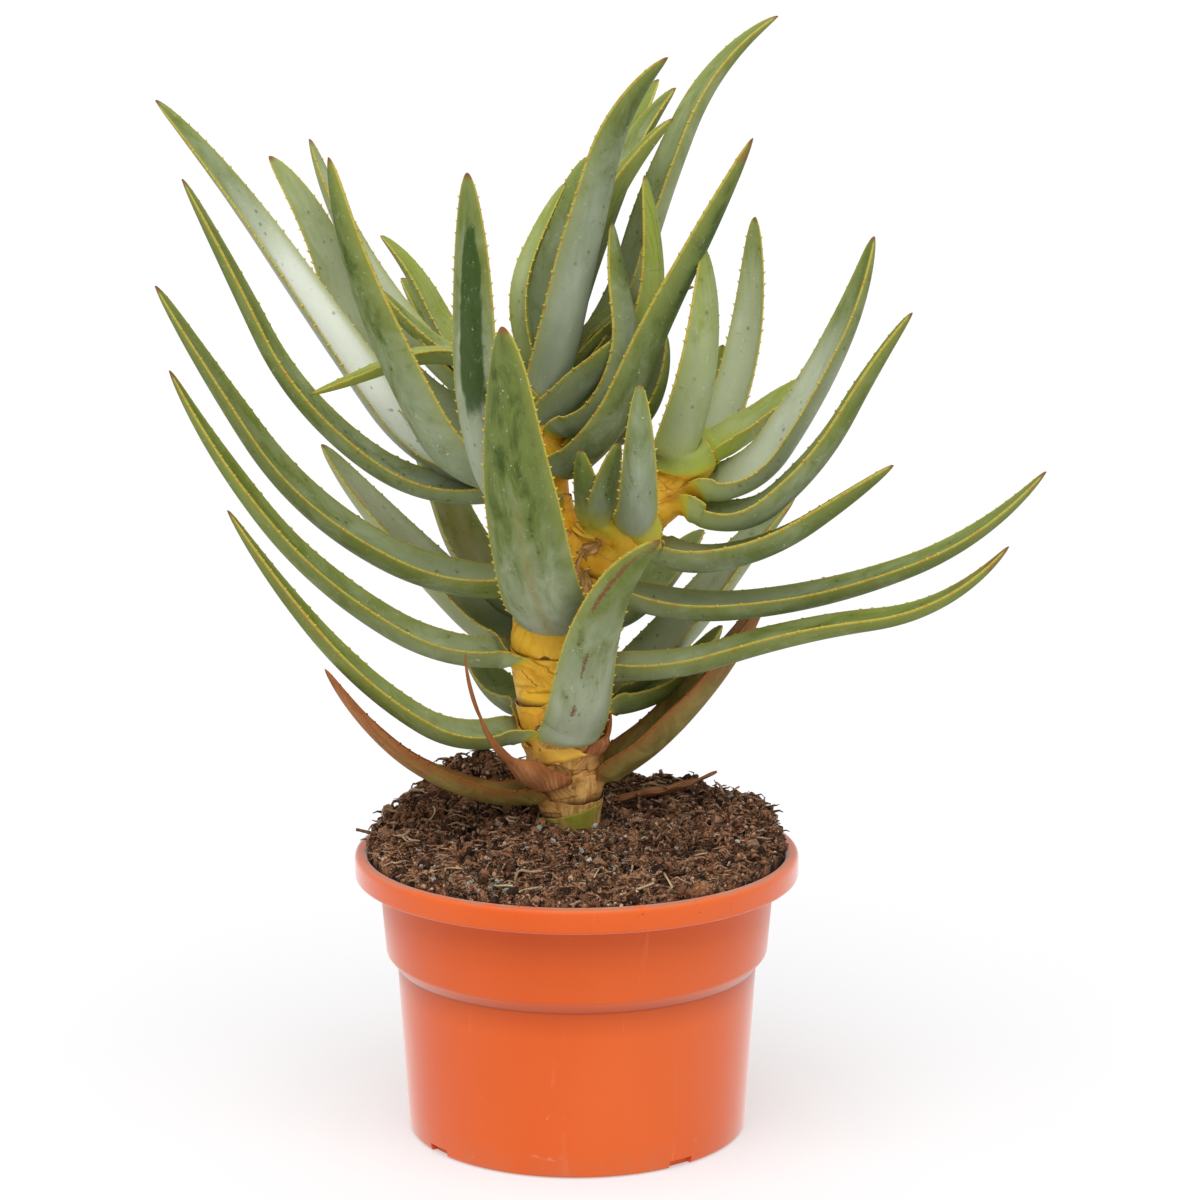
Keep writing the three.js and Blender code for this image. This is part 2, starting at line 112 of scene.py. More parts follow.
def circle(sides: int) -> Array:
    """Evenly spaced angles round a full turn."""
    return np.linspace(0, 2 * np.pi, sides, endpoint=False)


def vectors(x: Any, y: Any, z: Any) -> Array:
    """Stack three coordinates, each a number or an array, as vectors."""
    return np.stack(np.broadcast_arrays(x, y, z), -1).astype(float)


def heading(way: Any, climb: Any = 0.0) -> Array:
    """Unit vectors at a compass angle, climbing at another."""
    return vectors(np.cos(climb) * np.cos(way), np.cos(climb) * np.sin(way), np.sin(climb))


def leftward(way: Any) -> Array:
    """Level unit vectors to the left of a compass angle."""
    return vectors(-np.sin(way), np.cos(way), 0)


def noise_at(x: float, y: float, z: float) -> float:
    """Smooth noise about zero at a place."""
    return space_noise.noise(Vector((x, y, z)))


def catmull(points: Array, share: Array) -> Array:
    """Points on a smooth curve through a list of points.

    Args:
        points: the points the curve goes through, one per row.
        share: places along the list, from 0 to 1.

    Returns:
        One row for each share.
    """
    padded = np.vstack([2 * points[0] - points[1], points, 2 * points[-1] - points[-2]])
    place = np.clip(share, 0, 1) * (len(points) - 1)
    index = np.minimum(place.astype(int), len(points) - 2)
    t = (place - index)[:, None]
    a, b, c, d = (padded[index + k] for k in range(4))
    square, cube = 2 * a - 5 * b + 4 * c - d, 3 * b - a - 3 * c + d
    return 0.5 * (2 * b + (c - a) * t + square * t**2 + cube * t**3)


def linear(code: str) -> tuple[float, float, float, float]:
    """Turn a six-digit screen colour into the linear colour a shader takes."""
    channels = [int(code[i : i + 2], 16) / 255 for i in (0, 2, 4)]
    red, green, blue = (c / 12.92 if c < 0.04045 else ((c + 0.055) / 1.055) ** 2.4 for c in channels)
    return red, green, blue, 1.0


# ------------------------------------------------------------------------------ shader writing
def math_node(operation: str, swapped: bool = False) -> Callable[["Value", Any], "Value"]:
    """Make a method that adds one Math node on a value and another term."""

    def method(self: "Value", other: Any) -> "Value":
        """The value and the other term put through the Math node."""
        terms = (other, self) if swapped else (self, other)
        return self.sheet.value("ShaderNodeMath", {"operation": operation}, dict(enumerate(terms)))

    return method


class Value:
    """A number socket in a node tree, on which Python's operators add Math nodes."""

    def __init__(self, sheet: "NodeSheet", socket: Socket) -> None:
        """Hold the sheet that adds nodes and the socket to read."""
        self.sheet = sheet
        self.socket = socket

    __add__ = __radd__ = math_node("ADD")
    __sub__ = math_node("SUBTRACT")
    __rsub__ = math_node("SUBTRACT", swapped=True)
    __mul__ = __rmul__ = math_node("MULTIPLY")
    __truediv__ = math_node("DIVIDE")
    most = math_node("MAXIMUM")

    def between(self, low: float, high: float) -> "Value":
        """Where the value lies from low to high, as a clamped, eased share."""
        inputs = {"Value": self, "From Min": low, "From Max": high}
        return self.sheet.value("ShaderNodeMapRange", {"interpolation_type": "SMOOTHSTEP"}, inputs)


class NodeSheet:
    """One node tree and the few calls that fill it."""

    PREFIX = "ShaderNode"

    def __init__(self, tree: bpy.types.NodeTree) -> None:
        """Hold the tree."""
        self.tree = tree

    def node(self, kind: str, settings: Given = None, inputs: Given = None) -> Node:
        """Add a node.

        Args:
            kind: the node's type without its prefix, or in full.
            settings: attributes to set first.
            inputs: socket names or numbers to values, sockets or Value objects.

        Returns:
            The new node.
        """
        in_full = kind.startswith(("Function", "Geometry", "Shader", "NodeGroup"))
        made = self.tree.nodes.new(kind if in_full else self.PREFIX + kind)
        for name, setting in (settings or {}).items():
            setattr(made, name, setting)
        for name, given in (inputs or {}).items():
            self.feed(made.inputs[name], given)
        return made

    def feed(self, socket: Socket, given: Any) -> None:
        """Link a node, socket or Value into a socket, or set a constant or a screen colour on it."""
        if isinstance(given, Value):
            given = given.socket
        elif isinstance(given, Node):
            given = given.outputs[0]
        if isinstance(given, Socket):
            self.tree.links.new(given, socket)
        else:
            coded = socket.type == "RGBA" and isinstance(given, str)
            socket.default_value = linear(given) if coded else given

    def value(self, kind: str, settings: Given = None, inputs: Given = None, out: Any = 0) -> Value:
        """Add a node and wrap one of its outputs."""
        return Value(self, self.node(kind, settings, inputs).outputs[out])


class Shader(NodeSheet):
    """A material's nodes, with the noise and colour calls that the finishes share."""

    def __init__(self, name: str) -> None:
        """Make an empty material with one Principled shader."""
        self.material = bpy.data.materials.new(name)
        self.material.use_nodes = True
        super().__init__(self.material.node_tree)
        self.tree.nodes.clear()
        self.surface = self.node("BsdfPrincipled")
        self.node("OutputMaterial", inputs={"Surface": self.surface})

    def read(self, *names: str) -> list[Value]:
        """Read named attributes of the mesh as numbers."""
        return [self.value("Attribute", {"attribute_name": name}, out="Fac") for name in names]

    def flow(self) -> Value:
        """The millimetres across and along a piece, from its own attribute."""
        return self.value("Attribute", {"attribute_name": "flow"}, out="Vector")

    def place(self) -> Value:
        """Object coordinates."""
        return self.value("TexCoord", out="Object")

    def stretch(self, vector: Value, scale: Sequence[float], shift: Sequence[float] = (0, 0, 0)) -> Value:
        """Scale and shift a vector."""
        return self.value("Mapping", None, {"Vector": vector, "Scale": scale, "Location": shift})

    def noise(
        self, vector: Value, scale: Any, shift: Sequence[float] = (0, 0, 0),
        detail: float = 2.0, roughness: float = 0.5, distortion: float = 0.0,
    ) -> Value:
        """Soft noise from 0 to 1, around a half.

        Args:
            vector: where the noise is read.
            scale: one number, or one for each axis.
            shift: how far the vector is moved, when the scale has three numbers.
            detail: number of finer layers.
            roughness: strength of the finer layers.
            distortion: how far the pattern is warped.

        Returns:
            The noise.
        """
        if isinstance(scale, tuple):
            vector, scale = self.stretch(vector, scale, shift), 1.0
        inputs = {"Vector": vector, "Scale": scale, "Detail": detail, "Roughness": roughness}
        return self.value("TexNoise", None, {**inputs, "Distortion": distortion})

    def cells(self, vector: Value, scale: float) -> Value:
        """Distance to the nearest of scattered points."""
        return self.value("TexVoronoi", None, {"Vector": vector, "Scale": scale}, out="Distance")

    def blend(self, factor: Any, first: Any, second: Any) -> Value:
        """Mix two colours by a factor."""
        settings = {"data_type": "RGBA", "clamp_factor": True}
        return self.value("Mix", settings, {0: factor, 6: first, 7: second}, out=2)

    def layers(self, base: Any, *coats: tuple[Any, Any]) -> Value:
        """Lay colours over a base, each as a pair of factor and colour."""
        colour = base
        for factor, coat in coats:
            colour = self.blend(factor, colour, coat)
        return colour

    def dress(self, colour: Any, roughness: Any, relief: Sequence[Any] = (), **constants: float) -> Material:
        """Feed the Principled shader and give the material back.

        Args:
            colour: base colour.
            roughness: number or value.
            relief: height, strength and distance of the bump, if any.
            **constants: other sockets by name, with underscores for spaces.

        Returns:
            The finished material.
        """
        inputs = {"Base Color": colour, "Roughness": roughness}
        if relief:
            inputs["Normal"] = self.value("Bump", None, dict(zip(("Height", "Strength", "Distance"), relief)))
        for name, given in inputs.items():
            self.feed(self.surface.inputs[name], given)
        for name, number in constants.items():
            self.surface.inputs[name.replace("_", " ")].default_value = number
        return self.material


# ------------------------------------------------------------------------------ finishes
@dataclass(frozen=True)
class LeafFinish:
    """Waxy grey-green leaf, rubbed green towards its tip, with a yellow toothed edge and sheath, and painted
    shade and highlight.
    """

    name: str = "leaf_skin"
    bloom: str = "8f9a7d"
    pale: str = "cdd3bf"
    frost: str = "e1e5d9"
    green: str = "5f6e24"
    deep: str = "2f3d12"
    fresh: str = "9da840"
    dusk: str = "4d5a2c"
    hem: str = "949a44"
    edge: str = "c8b648"
    edge_orange: str = "c29a34"
    hook: str = "d9a034"
    collar: str = "b7b032"
    sheath: str = "eab21e"
    sheath_light: str = "efc04a"
    sheath_deep: str = "b87612"
    paper: str = "b5813f"
    tan: str = "dcb074"
    tan_deep: str = "a87440"
    rust: str = "75412c"
    stripe: str = "2b4303"
    lush: str = "a8b432"
    tip: str = "7d4a26"
    streak: str = "8d7c38"

    def material(self) -> Material:
        """Build the material from the leaf's own attributes."""
        s = Shader(self.name)
        flow = s.flow()
        share, tone, upper, hem, sheath, tooth = s.read("share", "tone", "upper", "hem", "sheath", "tooth")
        worn, dusk, lush, old, rim = s.read("worn", "dusk", "lush", "old", "edge")
        dark, pale, rust, streak = s.read("dark", "pale", "rust", "streak")
        edge = rim.between(0.5, 0.95)
        cloud = s.noise(flow, (0.06, 0.022, 1.0), detail=3.0)
        rub = s.noise(flow, (0.14, 0.05, 1.0), (7, 3, 0), detail=5.0, roughness=0.6, distortion=0.5)
        threads = s.noise(flow, (1.3, 0.03, 1.0), (2, 9, 0), detail=3.0, roughness=0.55)
        smear = s.noise(flow, (0.11, 0.8, 1.0), (3, 1, 0), detail=3.0, roughness=0.6, distortion=0.9)
        dust = s.noise(flow, (0.9, 0.8, 1.0), (5, 1, 0), detail=4.0, roughness=0.7)
        scuff = s.noise(flow, (0.4, 0.22, 1.0), (1, 4, 0), detail=7.0, roughness=0.78, distortion=1.2)
        beads = s.noise(flow, (0.0, 0.22, 1.0), (9, 2, 0), detail=2.0)
        fibre = s.noise(flow, (1.1, 0.1, 1.0), (3, 3, 0), detail=4.0, roughness=0.6)
        drops = s.cells(s.stretch(flow, (1.0, 1.0, 1.0), (4, 2, 1)), 0.36)
        spots = s.cells(s.stretch(flow, (1.0, 0.8, 1.0), (9, 6, 2)), 0.22)
        green = (share * 0.75 + rub * 0.8 + cloud * 0.25 + worn * 0.5).between(0.82, 1.3)
        blade = s.layers(
            s.blend(cloud.between(0.4, 0.75) * 0.45, self.bloom, self.pale),
            (green * 0.9, self.green),
            ((rub * 0.9 + share * 0.22 + worn * 0.2).between(0.64, 0.9) * 0.5, self.deep),
            # painted shade: the underside darkened towards deep green, as far as the leaf's underside shade
            # says
            ((1 - upper) * dusk * rub.between(0.15, 0.6), self.dusk),
            (tone * threads.between(0.1, 0.7), self.fresh),
            (lush * (0.5 + threads * 0.8), self.lush),
            (threads.between(0.55, 0.8) * 0.22, self.green),
            ((dark + (rub - 0.5) * 0.8).between(0.25, 0.55) * 0.92, self.stripe),
            (pale * (0.55 + dust * 0.5), self.pale),
            # pale bloom that turns near-white where a pale mark is strong: a painted highlight
            ((pale + (rub - 0.5) * 0.4).between(0.75, 1.2) * 0.9, self.frost),
            (smear.between(0.66, 0.76) * cloud.between(0.42, 0.6) * 0.4, self.deep),
            (scuff.between(0.58, 0.72) * 0.45, self.pale),
            (spots.between(0.24, 0.1) * rub.between(0.45, 0.6) * 0.5, self.deep),
            (drops.between(0.17, 0.09) * scuff.between(0.54, 0.62) * 0.7, self.frost),
            (streak * threads.between(0.1, 0.5) * 0.8, self.streak),
            ((rust + (dust - 0.5) * 0.9).between(0.3, 0.56) * 0.92, self.rust),
            (hem * 0.5, self.hem),
            (
                edge * (0.38 + beads * 0.7) * (1 - sheath),
                s.blend(beads.between(0.5, 0.62), self.edge, self.edge_orange),
            ),
            ((share + rub * 0.02).between(0.99, 1.01), self.tip),
        )
        wrap = s.layers(
            s.blend(fibre.between(0.3, 0.75), self.sheath, self.sheath_light),
            (rub.between(0.48, 0.7) * 0.7, self.sheath_deep),
            (old * 0.8, s.blend(fibre.between(0.35, 0.7), self.tan, self.tan_deep)),
            (edge * 0.8, self.paper),
        )
        colour = s.layers(
            blade,
            ((sheath + (rub - 0.5) * 0.2).between(0.02, 0.5), self.collar),
            ((sheath + (rub - 0.5) * 0.3).between(0.3, 0.8), wrap),
            (tooth, s.blend(tooth.between(0.5, 1.0), self.edge, self.hook)),
        )
        height = threads * 0.35 + rub * 0.5 + smear * 0.25 + dust * 0.3 + fibre * sheath
        sheen = 0.44 + green * 0.06 + rub * 0.14 + sheath * 0.06 + dust * 0.1
        return s.dress(colour, sheen, (height, 0.4, 0.0007), Specular_IOR_Level=0.25)


@dataclass(frozen=True)
class DryFinish:
    """Papery dead leaf, brown with paler ribs, still olive where it has not dried through."""

    name: str = "dry_leaf_skin"
    brown: str = "87502c"
    light: str = "ad7648"
    dark: str = "4a2a18"
    olive: str = "6c5e26"
    olive_pale: str = "8d7c40"
    paper: str = "d0a055"
    edge: str = "96551f"

    def material(self) -> Material:
        """Build the material."""
        s = Shader(self.name)
        flow = s.flow()
        ribs = s.noise(flow, (1.1, 0.05, 1.0), detail=3.0, roughness=0.55)
        cloud = s.noise(flow, (0.12, 0.06, 1.0), (4, 2, 0), detail=5.0, roughness=0.65, distortion=0.6)
        flecks = s.noise(flow, (0.7, 0.6, 1.0), (1, 5, 0), detail=4.0, roughness=0.7)
        living, share, sheath, edge, hem, tooth = s.read("tone", "share", "sheath", "edge", "hem", "tooth")
        green = (living + (cloud - 0.5) * 0.9 - share * 0.6).between(0.0, 0.45)
        colour = s.layers(
            s.blend(ribs.between(0.3, 0.7), self.brown, self.light),
            (cloud.between(0.5, 0.68) * 0.75, self.dark),
            (green, s.blend(cloud.between(0.35, 0.65), self.olive, self.olive_pale)),
            (flecks.between(0.6, 0.72) * 0.45, self.dark),
            (edge.most(hem * 0.7) * 0.8, self.edge),
            (sheath.between(0.3, 0.9), s.blend(ribs.between(0.35, 0.65), self.paper, self.light)),
            (tooth, self.edge),
        )
        height = ribs * 0.6 + cloud * 0.6 + flecks * 0.3
        return s.dress(colour, 0.58 + ribs * 0.2, (height, 0.7, 0.0009), Specular_IOR_Level=0.3)


@dataclass(frozen=True)
class StemFinish:
    """Old stem skin: yellow to orange between fine creases of painted brown shade, tan low down, green at the
    foot.
    """

    name: str = "stem_skin"
    yellow: str = "f6c02e"
    orange: str = "e4a21c"
    brown: str = "96551a"
    paper: str = "e3b87c"
    bark: str = "9a6238"
    green: str = "7f8420"
    rim: str = "b07a34"
    crease: str = "3a1c0c"

    def material(self) -> Material:
        """Build the material."""
        s = Shader(self.name)
        flow = s.flow()
        fibre = s.noise(flow, (0.6, 0.1, 0.6), detail=5.0, roughness=0.6)
        cloud = s.noise(flow, (0.1, 0.09, 0.1), (3, 5, 0), detail=4.0, roughness=0.6)
        patch = s.noise(flow, (0.16, 0.2, 0.16), (1, 8, 3), detail=5.0, roughness=0.7, distortion=0.8)
        age, edge, root, crease = s.read("age", "edge", "root", "crease")
        colour = s.layers(
            s.blend(cloud.between(0.38, 0.66), self.yellow, self.orange),
            (fibre.between(0.52, 0.78) * 0.45, self.brown),
            (patch.between(0.56, 0.68) * 0.7, self.brown),
            (age * 0.85, s.blend((fibre + patch * 0.4).between(0.5, 0.85), self.paper, self.bark)),
            (edge * 0.55, self.rim),
            (root * cloud.between(0.25, 0.55), self.green),
            # painted shade: dark brown in the creases between sheaths, inside them and over the core beneath
            (crease * 0.85, self.crease),
        )
        height = fibre + cloud * 0.5 + patch * 0.6
        return s.dress(colour, 0.48 + fibre * 0.25, (height, 0.6, 0.0008), Specular_IOR_Level=0.38)


@dataclass(frozen=True)
class PotFinish:
    """Orange moulded plastic with a faint grain, scuffs and dust, and painted shade under the lip and along
    the step.
    """

    name: str = "pot_plastic"
    orange: str = "d6550f"
    light: str = "de6122"
    shade: str = "a83e0a"
    chalk: str = "e79a78"
    speck: str = "54301c"
    dust: str = "a8795a"

    def material(self) -> Material:
        """Build the material."""
        s = Shader(self.name)
        here = s.place()
        cloud = s.noise(here, (9, 9, 4), detail=3.0)
        scuff = s.noise(here, (60, 60, 9), (1, 2, 3), detail=8.0, roughness=0.75, distortion=0.6)
        marks = s.noise(here, (38, 38, 30), (4, 1, 2), detail=9.0, roughness=0.8, distortion=1.2)
        speck = s.noise(here, 420.0, detail=3.0, roughness=0.7)
        grain = s.noise(here, 900.0)
        rim, low, band, fold, soiled = s.read("rim", "low", "band", "fold", "soiled")
        colour = s.layers(
            s.blend(cloud.between(0.3, 0.75), self.orange, self.light),
            # painted shade under the lip, deepest at the front and back
            (band * 0.3, self.shade),
            # painted shade along the step's crease and its slope
            (fold * 0.85, self.shade),
            (scuff.between(0.6, 0.72) * 0.2, self.chalk),
            ((marks + low * 0.08).between(0.66, 0.72) * 0.4, self.chalk),
            ((speck + rim * 0.07).between(0.74, 0.79) * 0.75, self.speck),
            (soiled * scuff.between(0.35, 0.6), self.dust),
        )
        height = grain * 0.4 + scuff * 0.3 + marks * 0.3 + cloud * 0.6
        rough = 0.36 + scuff * 0.18 + cloud * 0.06 + low * 0.06
        gloss = {"Specular_IOR_Level": 0.28, "Sheen_Weight": 1.0, "Sheen_Roughness": 0.35}
        return s.dress(colour, rough, (height, 0.18, 0.0006), **gloss)


@dataclass(frozen=True)
class EarthFinish:
    """Crumbly growing mix between two browns, or any loose bit of it; on the soil's top skin it has painted
    shade in hollows and painted light on clod tops.
    """

    name: str
    dark: str
    middle: str
    light: str
    coarse: float = 90.0
    chips: float = 0.45

    def material(self) -> Material:
        """Build the material."""
        s = Shader(self.name)
        here = s.place()
        clods = s.noise(here, self.coarse, detail=6.0, roughness=0.7)
        crumbs = s.noise(here, self.coarse * 6, detail=5.0, roughness=0.7)
        (shade,) = s.read("shade")
        colour = s.layers(
            s.blend(clods.between(0.42, 0.58), self.dark, self.middle),
            # on the soil's top skin, shade paints shade in the hollows and light on the clod tops; on loose
            # bits it is a random tone for each
            (crumbs.between(0.5, 0.66) * (1 - shade * 0.7), self.light),
            (shade.between(0.5, 1.0) * 0.9, self.dark),
            ((1 - shade).between(0.78, 1.0) * self.chips, self.light),
        )
        height = clods + crumbs * 0.6
        return s.dress(colour, 0.86 + clods * 0.1, (height, 0.8, 0.0016), Specular_IOR_Level=0.2)


@dataclass(frozen=True)
class FloorFinish:
    """Plain pale studio floor with a faint glow, which keeps shadows on it soft."""

    name: str = "studio_floor"
    white: str = "b6b6b7"
    grey: str = "b3b3b4"
    glow: float = 0.42

    def material(self) -> Material:
        """Build the material."""
        s = Shader(self.name)
        colour = s.blend(s.noise(s.place(), 3.0), self.white, self.grey)
        s.surface.inputs["Emission Color"].default_value = (1.0, 1.0, 1.0, 1.0)
        return s.dress(colour, 0.7, Specular_IOR_Level=0.2, Emission_Strength=self.glow)


# ------------------------------------------------------------------------------ meshes
def link(name: str, mesh: Mesh) -> Object:
    """Put a mesh in the scene as an object at the origin."""
    thing = bpy.data.objects.new(name, mesh)
    bpy.context.scene.collection.objects.link(thing)
    return thing


def mesh_from(name: str, points: Array, faces: Iterable[Sequence[int]], traits: Traits | None = None) -> Mesh:
    """Make a smooth-shaded mesh with named point attributes.

    Args:
        name: the mesh's name.
        points: places in millimetres, one per row.
        faces: corner numbers of each face.
        traits: arrays of numbers or of vectors, one entry per point.

    Returns:
        The mesh, in metres, with its faces turned outwards.
    """
    mesh = bpy.data.meshes.new(name)
    mesh.from_pydata((points * MM).tolist(), [], list(faces))
    for label, values in (traits or {}).items():
        flat = values.ndim == 1
        layer = mesh.attributes.new(label, "FLOAT" if flat else "FLOAT_VECTOR", "POINT")
        layer.data.foreach_set("value" if flat else "vector", values.astype(np.float32).ravel())
    shape = bmesh.new()
    shape.from_mesh(mesh)
    bmesh.ops.recalc_face_normals(shape, faces=shape.faces)
    to_mesh(shape, mesh)
    mesh.polygons.foreach_set("use_smooth", np.ones(len(mesh.polygons), dtype=bool))
    mesh.update()
    return mesh


def to_mesh(shape: bmesh.types.BMesh, mesh: Mesh) -> Mesh:
    """Write an edited shape into a mesh and free it."""
    shape.to_mesh(mesh)
    shape.free()
    return mesh


def skin(name: str, rings: Array, traits: Traits | None = None) -> Mesh:
    """Close a skin through rings of points, capping both ends with a fan.

    Args:
        name: the mesh's name.
        rings: array of ring, side and coordinate, in millimetres.
        traits: numbers or arrays that spread over ring and side, with a third axis for vectors.

    Returns:
        The mesh.
    """
    count, sides = rings.shape[:2]
    first, last = count * sides, count * sides + 1
    turn = [(k, (k + 1) % sides) for k in range(sides)]
    starts = [r * sides for r in range(count - 1)]
    faces = [(s + a, s + b, s + sides + b, s + sides + a) for s in starts for a, b in turn]
    faces += [(first, b, a) for a, b in turn]
    faces += [(last, (count - 1) * sides + a, (count - 1) * sides + b) for a, b in turn]

    def capped(values: Any) -> Array:
        """One entry per point, with the mean of the first and the last ring for the caps."""
        tail = (3,) if np.ndim(values) == 3 else ()
        full = np.broadcast_to(values, (count, sides, *tail)).astype(float)
        return np.concatenate([full.reshape(count * sides, *tail), full[[0, -1]].mean(1)])

    full = {label: capped(values) for label, values in (traits or {}).items()}
    return mesh_from(name, capped(rings), faces, full)


def swept(path: Array, side: Array, up: Array, x: Array, y: Array) -> Array:
    """Rings round a path, from offsets to its side and upwards."""
    side, up = (np.broadcast_to(way, path.shape)[:, None] for way in (side, up))
    return path[:, None] + x[..., None] * side + y[..., None] * up


def frames(path: Array) -> Array:
    """Direction of a path at each of its points."""
    return unit(np.gradient(path, axis=0))


def walk(start: Any, steps: Array) -> Array:
    """Path from a start through steps, of which the last only gives a direction."""
    return np.asarray(start) + np.vstack([np.zeros(3), np.cumsum(steps[:-1], 0)])


def tube(name: str, path: Array, radius: Any, sides: int) -> Mesh:
    """Make a round bar along a path, with one radius or one per point."""
    ahead = frames(path)
    upright = np.abs(ahead[:, 2:]) > 0.9
    side = unit(np.cross(ahead, np.where(upright, [[1.0, 0, 0]], [[0, 0, 1.0]])))
    reach, turn = np.broadcast_to(radius, len(path))[:, None], circle(sides)
    return skin(name, swept(path, side, np.cross(side, ahead), reach * np.cos(turn), reach * np.sin(turn)))


def joined(name: str, meshes: Sequence[Mesh]) -> Mesh:
    """Gather several meshes into one, keeping their attributes."""
    things = [link(f"{name}_{i}", mesh) for i, mesh in enumerate(meshes)]
    bpy.ops.object.select_all(action="DESELECT")
    for thing in things:
        thing.select_set(True)
    bpy.context.view_layer.objects.active = things[0]
    bpy.ops.object.join()
    mesh = things[0].data
    bpy.data.objects.remove(things[0])
    mesh.name = name
    return mesh


def settle(name: str, mesh: Mesh, slot: str, *replaced: str, material: Material | None = None) -> None:
    """Show a finished mesh as a piece of the body.

    Args:
        name: the piece's name.
        mesh: its mesh.
        slot: its material slot; not used.
        *replaced: the solids it stands in for.
        material: its material, where the mesh has none yet.
    """
    thing = link(name, mesh)
    if material:
        mesh.materials.append(material)
    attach(thing, BODY)
    if replaced:
        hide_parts(*replaced)
    log.info("%s: %d faces", name, len(mesh.polygons))


def evaluated(thing: Object) -> Mesh:
    """Plain mesh of an object after its modifiers; the object is removed."""
    bpy.context.view_layer.update()
    mesh = bpy.data.meshes.new_from_object(thing.evaluated_get(bpy.context.evaluated_depsgraph_get()))
    name = thing.name
    bpy.data.objects.remove(thing)
    mesh.name = name
    return mesh


# ------------------------------------------------------------------------------ geometry nodes
class Recipe(NodeSheet):
    """A geometry node tree with named inputs, applied to a piece and turned into a plain mesh."""

    PREFIX = "GeometryNode"

    def __init__(self, name: str, **sockets: str) -> None:
        """Open the tree with a geometry input and the named inputs, each given as a socket type."""
        super().__init__(bpy.data.node_groups.new(name, "GeometryNodeTree"))
        for label, kind in {"Geometry": "Geometry", **sockets, "Material": "Material"}.items():
            self.tree.interface.new_socket(label, in_out="INPUT", socket_type="NodeSocket" + kind)
        self.tree.interface.new_socket("Geometry", in_out="OUTPUT", socket_type="NodeSocketGeometry")
        self.given = self.node("NodeGroupInput").outputs

    def named(self, name: Any, kind: str = "FLOAT") -> Value:
        """Read a named attribute."""
        return self.value("InputNamedAttribute", {"data_type": kind}, {"Name": name})

    def chance(self, low: float, high: float, salt: int) -> Value:
        """A random number for each element, fixed by the tree's seed input and a salt."""
        seed = Value(self, self.given["Seed"]) + float(salt)
        inputs = {2: low, 3: high, "Seed": seed}
        return self.value("FunctionNodeRandomValue", {"data_type": "FLOAT"}, inputs, 1)

    def vector(self, x: Any, y: Any, z: Any) -> Value:
        """Combine three numbers."""
        return self.value("ShaderNodeCombineXYZ", None, {"X": x, "Y": y, "Z": z})

    def store(self, geometry: Any, domain: str, name: str, value: Value) -> Node:
        """Write a number attribute."""
        settings = {"data_type": "FLOAT", "domain": domain}
        inputs = {"Geometry": geometry, "Name": name, "Value": value}
        return self.node("StoreNamedAttribute", settings, inputs)

    def close(self, *parts: Any) -> None:
        """Join the parts, realise what is instanced, set the material and end the tree."""
        join = self.node("JoinGeometry")
        for part in reversed(parts):
            self.feed(join.inputs[0], part)
        real = self.node("RealizeInstances", inputs={"Geometry": join})
        coated = self.node("SetMaterial", inputs={"Geometry": real, "Material": self.given["Material"]})
        self.node("NodeGroupOutput", inputs={0: coated})

    def cook(self, thing: Object, **given: Any) -> Mesh:
        """Run the tree on an object and give back the plain mesh.

        Args:
            thing: the object the tree starts from; it is removed afterwards.
            **given: the named inputs' values.

        Returns:
            The resulting mesh, named after the object.
        """
        modifier = thing.modifiers.new("recipe", "NODES")
        modifier.node_group = self.tree
        for item in self.tree.interface.items_tree:
            if item.item_type == "SOCKET" and item.in_out == "INPUT" and item.name in given:
                modifier[item.identifier] = given[item.name]
        return evaluated(thing)


def tooth_recipe() -> Recipe:
    """Hooked teeth at even steps along the beaded edges of a leaf."""
    r = Recipe("edge_teeth", Pitch="Float", Height="Float", Seed="Int")
    blade = r.given["Geometry"]
    above = {"data_type": "FLOAT", "operation": "GREATER_THAN"}
    bead = r.node("FunctionNodeCompare", above, {0: r.named("bead"), 1: 0.9})
    curve = r.node("MeshToCurve", inputs={"Mesh": blade, "Selection": bead})
    points = r.node("CurveToPoints", {"mode": "LENGTH"}, {"Curve": curve, "Length": r.given["Pitch"]})
    size = {"Radius Top": 0.04 * MM, "Radius Bottom": 0.62 * MM, "Depth": 1.0 * MM}
    cone = r.node("MeshCone", {"fill_type": "NGON"}, {"Vertices": 6, "Side Segments": 3, **size})
    climb = r.value("ShaderNodeSeparateXYZ", None, {0: r.node("InputPosition")}, out="Z") / MM
    hook = r.vector(climb * climb * 0.55 * MM, 0.0, -0.25 * MM)
    hooked = r.node("SetPosition", inputs={"Geometry": cone, "Offset": hook})
    shaded = r.node("SetShadeSmooth", inputs={0: r.store(hooked, "POINT", "tooth", climb * 0.9 + 0.35)})
    axes = {0: r.named("outward", "FLOAT_VECTOR"), 1: r.named("forward", "FLOAT_VECTOR")}
    teeth = r.node("InstanceOnPoints", inputs={
        "Points": points,
        "Instance": shaded,
        "Rotation": r.node("FunctionNodeAxesToRotation", None, axes),
        "Scale": r.named("bite") * r.chance(0.45, 1.25, 3) * r.given["Height"],
    })
    r.close(blade, teeth)
    return r


